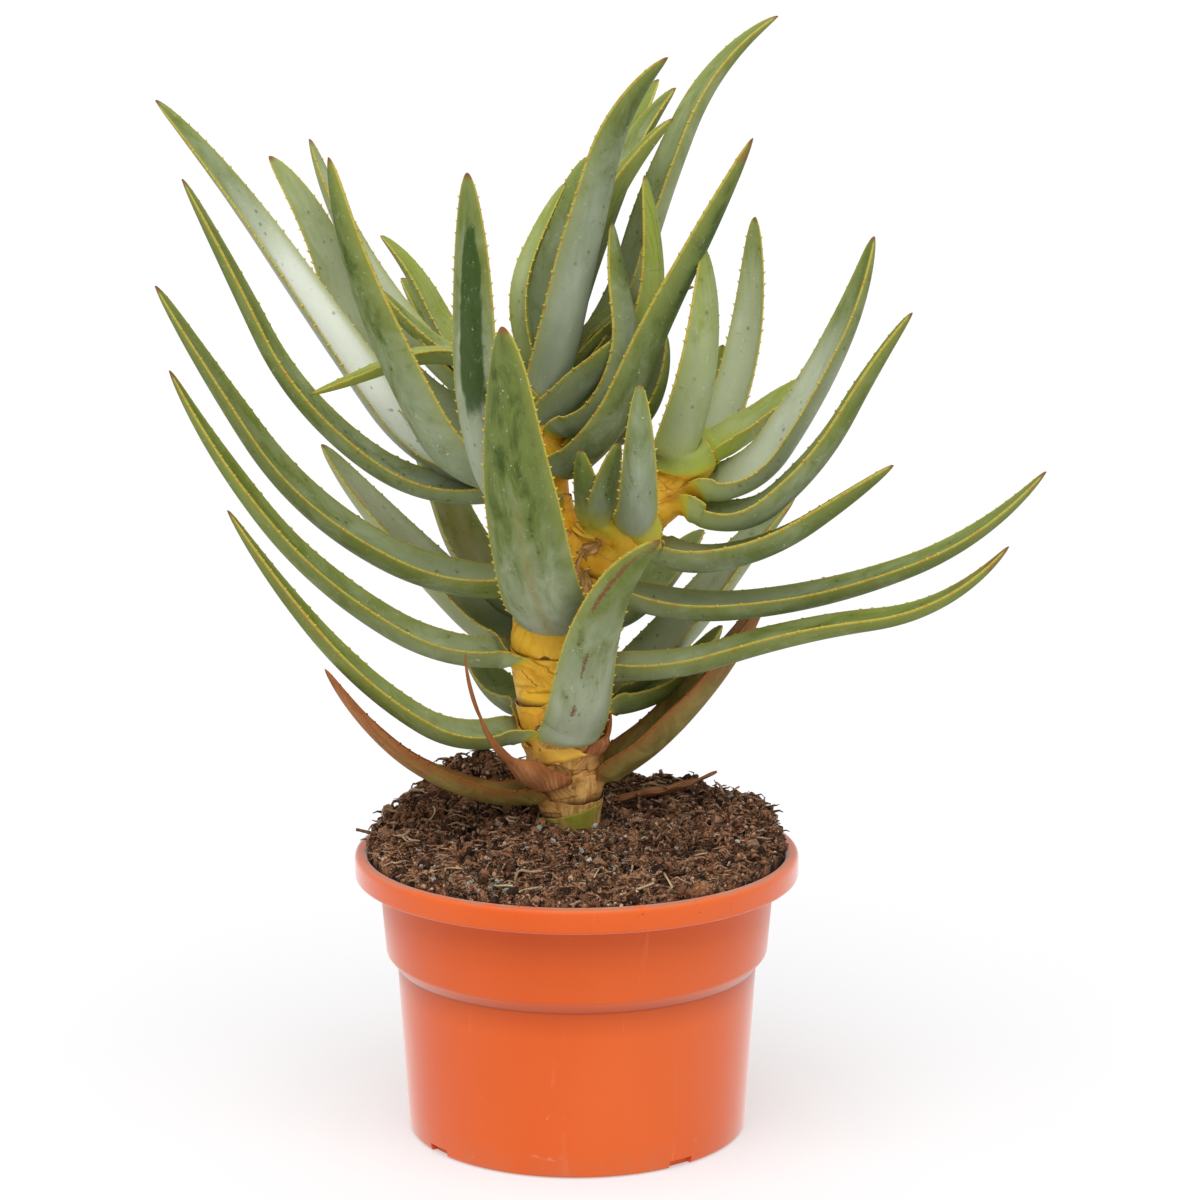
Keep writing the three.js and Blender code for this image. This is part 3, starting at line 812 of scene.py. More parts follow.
def scatter_recipe() -> Recipe:
    """Loose bits from a collection, strewn over a surface where an attribute allows."""
    measures = dict.fromkeys(("Density", "Least", "Most", "Tilt", "Sink"), "Float")
    r = Recipe("strew", Bits="Collection", Where="String", Seed="Int", **measures)
    given = r.given
    points = r.node("DistributePointsOnFaces", {"distribute_method": "RANDOM"}, {
        "Mesh": given["Geometry"],
        "Density": r.named(given["Where"]) * given["Density"],
        "Seed": given["Seed"],
    })
    apart = {"Separate Children": True, "Reset Children": True}
    bits = r.node("CollectionInfo", inputs={"Collection": given["Bits"], **apart})
    spin = r.vector(*(r.chance(-1, 1, salt) * given["Tilt"] for salt in (1, 2)), r.chance(-3.15, 3.15, 3))
    size = {0: r.chance(0, 1, 4), 2: given["Least"], 3: given["Most"]}
    placed = r.node("InstanceOnPoints", inputs={
        "Points": points,
        "Instance": bits,
        "Pick Instance": True,
        "Rotation": r.node("FunctionNodeEulerToRotation", None, {0: spin}),
        "Scale": r.value("ShaderNodeMix", {"data_type": "FLOAT"}, size),
    })
    drop = {"Translation": r.vector(0.0, 0.0, given["Sink"]), "Local Space": False}
    sunk = r.node("TranslateInstances", inputs={"Instances": placed, **drop})
    r.close(r.store(sunk, "INSTANCE", "shade", r.chance(0, 1, 5)))
    return r


# ------------------------------------------------------------------------------ stem
class Branch(Enum):
    """The three stretches of the stem."""

    TRUNK = "trunk"
    TALL = "tall"
    SIDE = "side"


# the trunk, the tall branch and the side branch, in the tables below
T, A, B = Branch


@dataclass
class Limb:
    """One stretch of stem: its axis, thickness and the heights of its sheath rims."""

    path: Rows
    radius: tuple[float, ...]
    rims: tuple[float, ...]

    def places(self, share: Array) -> Array:
        """Axis points at shares of the stretch."""
        return catmull(np.array(self.path, float), share)

    def at(self, height: float) -> tuple[Array, Array, float]:
        """Axis point, direction and thickness at a height."""
        shares = np.linspace(0, 1, 400)
        share = float(np.interp(height, self.places(shares)[:, 2], shares))
        near = self.places(np.array([share - 0.01, share, share + 0.01]))
        return near[1], unit(near[2] - near[0]), float(along(self.radius, share))


LIMBS = {
    T: Limb(
        (
            (-3, 0, 62), (-3, 0, 100), (-3, 0, 150), (-4, 0, 168),
            (-7, 0, 198), (-8.5, 0, 232), (-6, 0, 258), (-4, 0, 274),
        ),
        (10, 13, 13.6, 16, 19.5, 21.5, 20, 12),
        (155, 163, 170, 177, 184, 191, 197, 204, 211, 219, 226, 234, 242, 250, 257),
    ),
    A: Limb(
        ((-5, 0, 255), (-10, 1, 285), (-14.5, 3, 310), (-15, 5, 335), (-13, 7, 356), (-12, 8, 366)),
        (13, 12, 9.5, 9, 8, 5),
        (281, 288, 294, 300, 306, 313, 319, 326, 332, 339, 345),
    ),
    B: Limb(
        (
            (-2, -2, 262), (7, -4, 279), (19, -6, 290), (34, -8, 301),
            (46, -8, 315), (51, -7, 326), (53, -6, 333),
        ),
        (12, 14, 12.5, 11.5, 10.5, 8, 4),
        (283, 288, 293, 298, 303, 308, 313, 318, 323),
    ),
}


@dataclass
class Stem:
    """The forked stem in its old leaf sheaths.

    Each scrap of old sheath gives its branch, its height, the compass angle it points to, its length
    and its width. A sheath's section runs up its outside, which has the first so many of its pairs,
    and back down its inside. Each pair is a share of its height and a share of its flare.
    """

    sides: int = 64
    grain: float = 12.0
    gap: float = 0.25
    flare: float = 1.5
    slant: float = 3.6
    torn: float = 0.7
    lap: float = 11.0
    soil_line: float = 146.0
    old_core: tuple[float, float] = (150.0, 45.0)
    old_sheaths: tuple[float, float] = (158.0, 60.0)
    outside: int = 6
    section: Rows = (
        (0.0, 0.0), (0.3, 0.12), (0.6, 0.4), (0.85, 0.75), (0.97, 0.98),
        (1.0, 0.9), (0.99, 0.55), (0.9, 0.15), (0.7, -0.1), (0.4, -0.3),
    )
    scraps: tuple[tuple[Branch, float, float, float, float], ...] = (
        (T, 265, 280, 24, 8.0), (T, 258, 294, 22, 7.0), (T, 268, 300, 16, 6.0),
        (B, 279, 252, 18, 7.0), (A, 282, 282, 20, 7.0), (A, 296, 300, 14, 5.0),
        (T, 176, 318, 22, 8.0), (T, 168, 262, 18, 9.0), (T, 187, 250, 18, 8.0),
    )

    def _round(self, path: Array, ahead: Array, reach: Array) -> Array:
        """Rings round an axis at a reach from it, the first point towards its side."""
        side = unit(np.cross([0, 1.0, 0], ahead))
        turn = circle(self.sides)
        return swept(path, side, np.cross(ahead, side), reach * np.cos(turn), reach * np.sin(turn))

    def _flow(self, rise: Array) -> Array:
        """Places for the finish's grain, which runs round the stem without a seam."""
        turn = circle(self.sides)
        return vectors(self.grain * np.cos(turn), rise, self.grain * np.sin(turn))

    def _core(self, limb: Limb, name: str) -> Mesh:
        """Plain bar under the sheaths."""
        share = np.linspace(0, 1, 60)
        path = limb.places(share)
        height = path[:, 2:]
        wobble = 1 + 0.012 * np.sin(5 * circle(self.sides) + height * 0.3)
        return skin(name, self._round(path, frames(path), along(limb.radius, share)[:, None] * wobble), {
            "flow": self._flow(height),
            "age": fading(height, *self.old_core),
            "root": fading(height, self.soil_line + 4, 12),
            "edge": 0.0,
            # painted shade over the core, which lies under the sheaths
            "crease": 0.25,
        })

    def _sleeve(self, limb: Limb, height: float, index: int, seed: int) -> Mesh:
        """One old sheath: a thin flaring sleeve with a slanting, slightly torn rim."""
        draw = random.Random(seed * 97 + index)
        turn = circle(self.sides)
        edge = [noise_at(3 * math.cos(a), 3 * math.sin(a), index * 3.7 + seed) for a in turn]
        torn = self.torn * np.array(edge)
        rise = self.slant * np.cos(turn - index * GOLDEN_ANGLE) + torn
        flare = self.flare * draw.uniform(0.35, 1.15)
        level, out = np.array(self.section).T[..., None]
        centres, ahead, radius = zip(*(limb.at(height - self.lap * (1 - share)) for share in level[:, 0]))
        ahead = np.array(ahead)
        reach = np.array(radius)[:, None] + self.gap + flare * out + 0.25 * torn
        rings = self._round(np.array(centres), ahead, reach) + (rise * level)[..., None] * ahead[:, None]
        inside = (np.arange(len(level)) >= self.outside)[:, None].astype(float)
        return skin(f"sleeve_{seed}_{index}", rings, {
            "flow": self._flow(height + 9 * level + index * 13),
            "age": fading(height, *self.old_sheaths),
            "root": fading(height, self.soil_line + 6, 14),
            "edge": smooth((level - 0.9) / 0.1) * (1 - inside * 0.6),
            # painted shade on the inside and on the low part tucked under the sheath below
            "crease": np.maximum(inside, 0.95 * smooth(1 - level / 0.34)),
        })

    def _scrap(
        self, branch: Branch, height: float, turn: float, length: float, width: float, seed: int
    ) -> Mesh:
        """A torn bit of old sheath that stands off the stem and curls outwards."""
        centre, axis, radius = LIMBS[branch].at(height)
        lean = random.Random(seed).uniform(-6, 6)
        out = heading(math.radians(turn))
        side = unit(np.cross(axis, out))
        share = np.linspace(0, 1, 18)[:, None]
        climb = np.radians(along((90, 84, 62, 5), share) + lean)
        twist = 0.45 * np.sin(share * 5 + 2 * seed)
        steps = (np.sin(climb) * axis + np.cos(climb) * out + twist * side) * length / len(share)
        path = walk(centre + (radius + 0.6) * out, steps)
        around = circle(14)
        across = np.cos(around)
        half = 0.5 * width * mix(1.0, 0.35, share**1.5) * (1 + 0.3 * np.sin(share * 13 + seed))
        curl = 0.5 * half * mix(0.2, 1.0, share) * across**2 + 0.28 * np.sin(around)
        edge = (np.abs(across) > 0.85) * 1.0
        rings = swept(path, side, unit(np.cross(side, frames(path))), half * across, curl)
        looks = {"flow": vectors(half * across, length * share, 5.0 * seed), "age": 1.0, "root": 0.0}
        # its edges get some of the painted crease shade
        return skin(f"scrap_{seed}", rings, {**looks, "edge": edge, "crease": edge * 0.4})

    def build(self, finish: StemFinish) -> None:
        """Make the whole stem as one piece."""
        meshes = []
        for seed, (branch, limb) in enumerate(LIMBS.items()):
            meshes.append(self._core(limb, f"{branch.value}_core"))
            meshes += [self._sleeve(limb, height, k, seed) for k, height in enumerate(limb.rims)]
        meshes += [self._scrap(*scrap, seed=k) for k, scrap in enumerate(self.scraps)]
        settle("stem_in_sheaths", joined("stem_skin", meshes), "stem", "stem", material=finish.material())


# ------------------------------------------------------------------------------ leaves
class Kind(Enum):
    """What a mark on a leaf is."""

    DARK = "dark"
    PALE = "pale"
    RUST = "rust"
    STREAK = "streak"


DARK, PALE, RUST, STREAK = Kind


@dataclass(frozen=True)
class Mark:
    """A soft-edged patch on a leaf, placed by share of length and share of half-width.

    It reaches so far along the leaf and spreads so far across it, and is weaker on the underside.
    """

    kind: Kind
    share: float
    reach: float
    across: float = 0.0
    spread: float = 0.8
    strength: float = 1.0
    below: float = 0.7

    def mask(self, share: Array, across: Array, upper: Array) -> Array:
        """Strength of the patch over the leaf."""
        fall = ((share - self.share) / self.reach) ** 4 + ((across - self.across) / self.spread) ** 4
        return self.strength * np.exp(-fall) * np.where(upper > 0.5, 1.0, self.below)


@dataclass(frozen=True)
class Leaf:
    """One leaf: where it leaves the stem, how its mid-line runs, and its width.

    It starts on its stem's axis at a height, heads off in a compass direction (0 = +X, 90 = +Y) that
    turns on the way, and climbs at four angles given at even shares of its length. Roll turns the
    channel round the mid-line. Gold is the length of the yellow base, bulb how far the base swells,
    strap how far a dry blade shrinks to a strip, deep the most that the channel's section rises, worn
    how green the leaf is towards its tip, the underside shade how far its underside is darkened with
    painted shade, lush how fresh its base is.
    """

    on: Branch
    height: float
    way: float
    turn: float
    rise: tuple[float, float, float, float]
    length: float
    width: float
    roll: float = 0.0
    tone: float = 0.15
    tip: float = 0.15
    twist: float = 0.0
    worn: float = 0.2
    dusk: float = 0.3
    gold: float = 7.0
    bulb: float = 0.0
    strap: float = 0.0
    deep: float = 14.0
    lush: float = 0.0
    marks: tuple[Mark, ...] = ()


@dataclass
class Route:
    """The stations along a leaf, one row each.

    Share runs from 0 at the blade's foot to 1 at its tip and is negative in the sheath, and sheath
    runs from 1 round the stem to 0 in the open blade.
    """

    path: Array
    share: Array
    sheath: Array
    sides: Array

    def at(self, places: Array, run: Array) -> "Route":
        """The route read at other places along its run."""
        rows = np.column_stack([self.path, self.share, self.sheath, self.sides])
        read = np.stack([np.interp(places, run, column) for column in rows.T], 1)
        return Route(read[:, :3], read[:, 3], read[:, 4], unit(read[:, 5:]))


@dataclass
class Blade:
    """Builds the mesh of one leaf, from its sheath round the stem to its tip.

    The mid-line has so many steps, the skin so many even stations, and each face so many inner
    corners. The channel is as deep as a share of the width, which changes towards the tip. The rim
    and the floor are shares of the depth, and the taper is the two powers of the tip's curve. A leaf
    that starts steeper than an angle has no sheath, which else wraps the stem over two angles.
    """

    leaf: Leaf
    seed: int
    dry: float = 0.0
    steps: int = 60
    stations: int = 70
    inner: int = 11
    lap: float = 16.0
    knee: float = 8.0
    steep: float = 47.0
    sheath_share: float = 0.08
    wrap: tuple[float, float] = (62.0, 96.0)
    channel_depth: tuple[float, float] = (0.52, 0.46)
    least_half: float = 0.12
    rim: float = 0.55
    floor: tuple[float, float] = (-0.08, 0.42)
    taper: tuple[float, float] = (2.4, 0.55)
    foot_wrap: tuple[float, float] = (2.9, 1.8)
    foot_most: float = 1.6
    foot_share: float = 0.25
    flare_length: float = 30.0
    wander: float = 0.9
    toothed: tuple[float, float] = (0.012, 0.975)
    lush_base: tuple[float, float] = (12.0, 34.0)
    old_below: tuple[float, float] = (176.0, 50.0)
    tip_share: tuple[float, float] = (0.88, 0.1)

    def __post_init__(self) -> None:
        """Find the stem where the leaf starts."""
        self.limb = LIMBS[self.leaf.on]
        self.start, self.axis, self.radius = self.limb.at(self.leaf.height)

    def midline(self) -> tuple[Array, Array]:
        """Points of the mid-line from the stem's axis to the tip, and its compass angle at each."""
        leaf = self.leaf
        share = np.arange(self.steps + 1) / self.steps
        way = np.radians(leaf.way + leaf.turn * share)
        ahead = heading(way, np.radians(along(leaf.rise, share)))
        return walk(self.start, ahead * leaf.length / self.steps), way

    def route(self) -> Route:
        """The whole path of the leaf with its sheath, which a steep leaf goes without."""
        leaf, axis = self.leaf, self.axis
        points, way = self.midline()
        share = np.arange(self.steps + 1) / self.steps
        across = leftward(way)
        if leaf.rise[0] > self.steep:
            return Route(points, share, np.clip(0.6 - share * 8, 0, 1), across)
        offset = points - self.start
        rise = offset @ axis
        clear = int(np.argmax(np.linalg.norm(offset - rise[:, None] * axis, axis=1) > self.radius + 1.0))
        level = heading(way[0])
        out = unit(level - axis * (level @ axis))

        def beside(drop: float, gap: float) -> Array:
            """A point beside the stem, below the place where the leaf leaves it."""
            centre, _, thick = self.limb.at(leaf.height + rise[clear] * axis[2] - drop)
            return centre + (thick + gap) * out

        drops = np.linspace(self.lap, 5.0, 7)
        low = np.array([beside(drop * axis[2], 0.4 + 1.5 * (1 - drop / self.lap)) for drop in drops])
        join = min(clear + max(1, math.ceil(self.knee / leaf.length * self.steps)), self.steps - 4)
        bend = np.linspace(0, 1, 9)[1:-1, None]
        elbow = 2 * bend * (1 - bend) * beside(-1.0, 2.2)
        curve = (1 - bend) ** 2 * low[-1] + elbow + bend**2 * points[join]
        foot = np.linspace(-self.sheath_share, 0, len(low), endpoint=False)
        knee = np.linspace(0, join / self.steps, len(curve), endpoint=False)
        leaving = 1 - smooth(np.linspace(0, 1, len(curve) + 1)[1:] * 1.9)
        stem_side = np.tile(unit(np.cross(axis, out)), (len(low) + len(curve), 1))
        return Route(
            np.vstack([low, curve, points[join:]]),
            np.concatenate([foot, knee, share[join:]]),
            np.concatenate([np.ones(len(low)), leaving, 0 * share[join:]]),
            np.vstack([stem_side, across[join:]]),
        )

    def channel(self, half: Array, share: Array) -> tuple[Array, ...]:
        """Section of the open blade.

        Args:
            half: half the width at each station.
            share: share of the blade at each station.

        Returns:
            Side and up coordinates, share across and mask of the upper face, by station and corner.
        """
        half, share = np.maximum(half, self.least_half)[:, None], share[:, None]
        deepest = min(self.leaf.deep, self.leaf.width * self.channel_depth[0])
        depth = np.minimum(2 * half * mix(*self.channel_depth, share), deepest)
        rim, keel = self.rim * depth, (1 - self.rim) * depth
        floor = depth * mix(*self.floor, smooth(share))
        bead = np.minimum(1.0, half / 4)
        t = np.linspace(-1, 1, self.inner) * (1 - np.minimum(0.3, 0.9 / np.maximum(half, 0.5)))
        top = floor + (rim - floor) * np.abs(t) ** 2.0
        low = np.minimum(-keel + (rim + keel) * np.abs(t) ** 2.6, top - 0.45 - 0.15 * (1 - self.dry))
        side = np.hstack([
            -half - 0.2 * bead, -half + 0.2 * bead, t * half, half - 0.2 * bead,
            half + 0.2 * bead, half - 0.15 * bead, t[:, ::-1] * half, -half + 0.15 * bead,
        ])
        up = np.hstack([
            rim - 0.3 * bead, rim + 0.1 * bead, top, rim + 0.1 * bead,
            rim - 0.3 * bead, rim - 0.75 * bead, low[:, ::-1], rim - 0.75 * bead,
        ])
        one = np.ones_like(half)
        across = np.hstack([-one, -one, t, one, one, one, t[:, ::-1], -one])
        upper = np.hstack([one, one, np.ones_like(t), one, one * 0.5, 0 * one, np.zeros_like(t), 0 * one])
        return side, up, across, upper

    def wrapping(self, across: Array, upper: Array, drop: Array) -> tuple[Array, ...]:
        """Section of the sheath: an arc that clasps the stem, thin at its edges."""
        angle = np.radians(mix(*self.wrap, drop)) * across
        outer = self.radius + 1.5
        reach = outer - np.where(upper > 0.5, 0.35 + 1.3 * (1 - across**2), 0.0)
        return reach * np.sin(angle), outer - reach * np.cos(angle)

    def stations_along(self, length: float) -> Array:
        """Places of the rings: even, closer where the sheath bends, and three near the tip."""
        knee = np.linspace(0, min(38.0, length * 0.3), 16)
        places = np.unique(np.concatenate([np.linspace(0, length, self.stations), knee]))
        return np.unique(np.concatenate([places[:-1], length - np.array([1.2, 0.5, 0.12])]))

    def half_width(self, blade: Array, wander: Array, left: Array) -> Array:
        """Half the width along the blade, with its foot, its swelling and its blunt tip."""
        leaf = self.leaf
        foot = min(self.foot_most, self.foot_wrap[leaf.on is T] * self.radius / leaf.width)
        foot_share = self.foot_share if foot < 1 else self.flare_length / leaf.length
        half = 0.5 * leaf.width * mix(foot, 1, smooth(blade / foot_share))
        half = half * (1 - blade ** self.taper[0]) ** self.taper[1]
        half = half * (1 + 0.03 * wander) * mix(1, 0.25, leaf.strap * smooth((blade - 0.28) / 0.16))
        half = half + leaf.bulb * np.exp(-(((blade * leaf.length - 10) / 11) ** 2))
        cap = 1.35 * (1 - leaf.strap) * np.sqrt(np.clip(left / 1.8, 0.01, 1))
        return np.cbrt(half**3 + cap**3)

    def mesh(self, name: str) -> Mesh:
        """Build the leaf's skin with the attributes its finish reads."""
        leaf, route = self.leaf, self.route()
        run = np.concatenate([[0], np.cumsum(np.linalg.norm(np.diff(route.path, axis=0), axis=1))])
        places = self.stations_along(run[-1])
        route = route.at(places, run)
        path = route.path
        for _ in range(2):
            path[1:-1] = 0.25 * path[:-2] + 0.5 * path[1:-1] + 0.25 * path[2:]
        blade = np.clip(route.share, 0, 0.999)
        wander = np.array([[noise_at(s * 4.3, self.seed * 1.37, k * 9.1) for k in range(2)] for s in blade])
        ahead = frames(path)
        up = unit(np.cross(ahead, route.sides))
        side = unit(np.cross(up, ahead))
        roll = leaf.roll * smooth(blade / self.foot_share) + leaf.twist * smooth((blade - 0.15) / 0.85)
        roll = np.radians(roll + 4.0 * wander[:, 0] * smooth(blade * 3))[:, None]
        side, up = np.cos(roll) * side + np.sin(roll) * up, np.cos(roll) * up - np.sin(roll) * side
        stray = (self.wander * smooth(blade * 4) * (1 - blade))[:, None]
        path = path + stray * (wander[:, :1] * side + wander[:, 1:] * up)
        half = self.half_width(blade, wander[:, 1], places[-1] - places)
        x, y, across, upper = self.channel(half, blade)
        drop = np.clip(-route.share / self.sheath_share, 0, 1)[:, None]
        clasp = self.wrapping(across, upper, drop)
        x, y = (mix(flat, round_, route.sheath[:, None]) for flat, round_ in zip((x, y), clasp))
        rings = swept(path, side, up, x, y)
        rings[-1] = path[-1] + (rings[-1] - path[-1]) * 0.6
        return skin(name, rings, {
            **self.looks(route, places, half, across, upper),
            "outward": side[:, None] * np.sign(across)[..., None],
            "forward": ahead[:, None],
        })

    def looks(self, route: Route, places: Array, half: Array, across: Array, upper: Array) -> Traits:
        """Attributes that the finish and the teeth read.

        Args:
            route: the stations.
            places: how far each lies along the leaf.
            half: half the width at each.
            across: share across, by station and corner.
            upper: mask of the upper face, by station and corner.

        Returns:
            The attributes by name.
        """
        leaf = self.leaf
        share, wide = np.clip(route.share, 0, 0.999)[:, None], half[:, None]
        bead = np.zeros(across.shape)
        for corner in (0, self.inner + 3):
            bead[:, corner] = (route.share > self.toothed[0]) & (route.share < self.toothed[1])
        base = 0.8 * fading(route.share * leaf.length, 0, leaf.gold)
        line = across * np.maximum(wide, 3.0) + np.where(upper > 0.5, 0.0, 40.0)
        looks = {
            "flow": vectors(line, places[:, None], self.seed * 7.31),
            "share": share,
            "upper": upper,
            "edge": np.abs(across) > 0.9999,
            "hem": np.exp(-(((1 - np.abs(across)) * wide / 1.9) ** 2)),
            "sheath": np.maximum(route.sheath, base)[:, None],
            "worn": leaf.worn,
            # how much painted shade darkens the leaf's underside
            "dusk": leaf.dusk,
            "lush": leaf.lush * fading(share * leaf.length, *self.lush_base),
            "old": fading(leaf.height, *self.old_below),
            "tone": leaf.tone * (1 - 0.2 * share),
            "bead": bead,
            "bite": np.clip(0.75 + 0.3 * np.sin(np.pi * share), 0, 1) * np.clip(wide / 4, 0.4, 1),
        }
        for kind in Kind:
            masks = [mark.mask(share, across, upper) for mark in leaf.marks if mark.kind is kind]
            looks[kind.value] = np.maximum.reduce([np.zeros(across.shape), *masks])
        tip = 0.8 * leaf.tip * (1 - fading(share, *self.tip_share))
        looks["rust"] = np.maximum(looks["rust"], tip)
        return looks


TRUNK_LEAVES = (
    Leaf(T, 266, 180, -1, (-15, 28, 57, 61), 254, 25, -12, tone=0.3, worn=0.3, dusk=0.95),
    Leaf(T, 233, 188, -1, (-16, 33, 53, 66), 242, 22, -12, tone=0.3, tip=0.5, worn=0.55, dusk=0.35),
    Leaf(T, 206, 197, -3, (-43, 34, 52, 61), 212, 20, -14, tone=0.3, tip=0.6, worn=0.6, dusk=0.5, marks=(
        Mark(RUST, 0.76, 0.26, 0.95, 0.35, 0.6),
    )),
    Leaf(T, 239, 263, -19, (13, 49, 72, 89), 201, 40,
         tone=0.1, tip=0.4, worn=0.6, dusk=0.0, gold=10, deep=9, marks=(
        Mark(STREAK, 0.32, 0.27, 0.0, 0.13, 0.8),
        Mark(DARK, 0.76, 0.26, -0.1, 1.0, 0.5),
        Mark(PALE, 0.22, 0.2, 0.2, 0.9, 0.35),
    )),
    Leaf(T, 178, -80, 30, (30, 66, 52, 36), 161, 32,
         tone=0.15, tip=0.6, worn=0.25, dusk=0.0, gold=10, deep=9, marks=(
        Mark(RUST, 0.8, 0.17, -0.7, 0.12, 0.9),
        Mark(RUST, 0.47, 0.07, -0.35, 0.1, 0.75),
        Mark(RUST, 0.3, 0.03, -0.4, 0.12, 0.85),
        Mark(PALE, 0.22, 0.18, 0.0, 0.9, 0.3),
    )),
    Leaf(T, 231, 143, 8, (-10, 36, 39, 52), 170, 30, tone=0.35, worn=-0.1, dusk=0.1, marks=(
        Mark(PALE, 0.7, 0.25, 0.0, 1.2, 0.5),
        Mark(STREAK, 0.6, 0.35, 0.2, 0.7, 0.35),
    )),
    Leaf(T, 256, 120, 20, (-30, 15, 60, 50), 164, 30, tone=0.2, worn=0.2, dusk=0.4, marks=(
        Mark(STREAK, 0.5, 0.4, 0.0, 0.8, 0.7),
    )),
    Leaf(T, 212, 120, 14, (-40, -10, 28, 63), 95, 26, tone=0.2, worn=0.6, dusk=0.8),
    Leaf(T, 270, -7, 1, (-31, 7, 22, 53), 244, 22, 8, tone=0.2, tip=0.5, worn=0.35, dusk=0.6),
    Leaf(T, 225, -12, 0, (-10, 20, 10, 55), 226, 21, 8, tone=0.3, tip=1.0, worn=0.5, dusk=0.5, marks=(
        Mark(RUST, 0.9, 0.1, 0.9, 0.6, 0.5),
    )),
    Leaf(T, 209, 43, -15, (-20, 34, 45, 41), 173, 32, tone=0.3, tip=1.0, worn=0.1, dusk=0.1, marks=(
        Mark(PALE, 0.62, 0.3, 0.0, 1.2, 0.4),
        Mark(RUST, 0.75, 0.25, -0.95, 0.3, 0.5),
    )),
    Leaf(T, 251, 59, -9, (-30, 0, 27, 35), 129, 30, tone=0.2, worn=0.4, dusk=0.4),
    Leaf(T, 209, 20, 4, (-23, 4, 35, 59), 96, 26, tone=0.3, worn=0.5, dusk=0.6),
    Leaf(T, 243, 100, 4, (-10, 30, 55, 62), 160, 30, tone=0.2, worn=0.4, dusk=0.5),
)

TALL_HEAD_LEAVES = (
    Leaf(A, 310, 172, 3, (-5, 55, 56, 48), 264, 23, -32, tone=0.1, tip=0.05, worn=0.0, dusk=0.2, marks=(
        # pale bloom, strong enough here to carry a painted highlight
        Mark(PALE, 0.46, 0.3, 0.0, 1.2, 1.15),
    )),
    Leaf(A, 313, 186, 0, (-24, 35, 65, 64), 243, 21, -14, tone=0.1, worn=0.45, dusk=0.35),
    Leaf(A, 316, 213, -5, (-17, 59, 68, 82), 207, 27, tone=0.1, tip=0.4, worn=0.3, dusk=0.1, marks=(
        Mark(DARK, 0.8, 0.2, 0.1, 0.8, 0.5),
        Mark(DARK, 0.62, 0.12, 0.45, 0.4, 0.4),
        Mark(DARK, 0.22, 0.08, 0.2, 0.4, 0.32),
    )),
    Leaf(A, 329, 163, -2, (25, 43, 59, 74), 185, 22, tone=0.5, worn=0.0, dusk=0.0, marks=(
        Mark(PALE, 0.7, 0.35, 0.0, 1.2, 0.5),
    )),
    Leaf(A, 330, 157, 4, (-12, 37, 71, 50), 207, 27, -38, tone=0.5, worn=-0.1, dusk=0.0, marks=(
        Mark(PALE, 0.6, 0.4, 0.0, 1.2, 0.35),
    )),
    Leaf(A, 342, 142, 6, (2, 37, 60, 37), 129, 20, tone=0.85),
    Leaf(A, 336, 126, 10, (-17, 23, 53, 41), 133, 30, tone=0.3),
    Leaf(A, 335, 193, 2, (67, 24, -19, -16), 126, 17, tone=0.85),
    Leaf(A, 355, 170, 0, (-3, 20, 40, 57), 95, 20, tone=0.3),
    Leaf(A, 300, 240, 22, (-7, 59, 90, 82), 205, 25, tone=0.05, tip=0.3, worn=0.1, dusk=0.0, gold=10, marks=(
        Mark(DARK, 0.69, 0.21, 0.1, 0.52, 1.4),
        Mark(PALE, 0.36, 0.12, 0.0, 0.9, 0.5),
    )),
    Leaf(A, 339, -51, 17, (68, 72, 72, 39), 187, 25, tone=0.0, tip=0.4, worn=0.0, dusk=0.1, gold=22, marks=(
        Mark(PALE, 0.35, 0.3, 0.2, 0.8, 0.4), Mark(DARK, 0.42, 0.05, 0.3, 0.4, 0.4),
    )),
    Leaf(A, 312, -41, 23, (19, 65, 61, 65), 200, 23, tone=0.05, tip=0.8, worn=0.7, dusk=0.3, gold=12, marks=(
        Mark(DARK, 0.8, 0.22, -0.3, 0.7, 0.5),
    )),
    Leaf(A, 348, 26, -3, (31, 72, 65, 29), 217, 25, tone=0.35, tip=0.4, worn=0.1),
    Leaf(A, 351, 8, -3, (80, 72, 61, 43), 142, 26, tone=0.6, worn=0.3),
    Leaf(A, 353, 42, -9, (68, 66, 61, 44), 157, 24, tone=0.2, worn=0.1),
    Leaf(A, 355, 58, -9, (62, 60, 57, 49), 163, 22, tone=0.5),
    Leaf(A, 344, -10, -2, (10, 54, 91, 103), 135, 24, tone=0.95),
    Leaf(A, 335, -30, -5, (-3, 56, 102, 100), 125, 19, tone=0.05, worn=0.0),
    Leaf(A, 344, 35, 10, (109, 104, 62, 49), 113, 13, tone=0.7, worn=-0.1),
    Leaf(A, 354, 61, -11, (88, 79, 66, 59), 111, 24, tone=0.2),
    Leaf(A, 347, 106, -20, (48, 55, 50, 40), 80, 20, tone=0.7),
    Leaf(A, 334, -27, -7, (54, 43, 43, 61), 67, 26, tone=0.1, worn=0.1),
    Leaf(A, 332, 18, 4, (-27, 15, 65, 94), 94, 24, tone=0.1, worn=0.4, dusk=0.7),
    Leaf(A, 341, 11, -5, (66, 49, 31, 12), 95, 14, tone=0.5, dusk=0.5),
    Leaf(A, 341, 34, -4, (66, 54, 39, 14), 74, 14, tone=0.6, dusk=0.5),
)

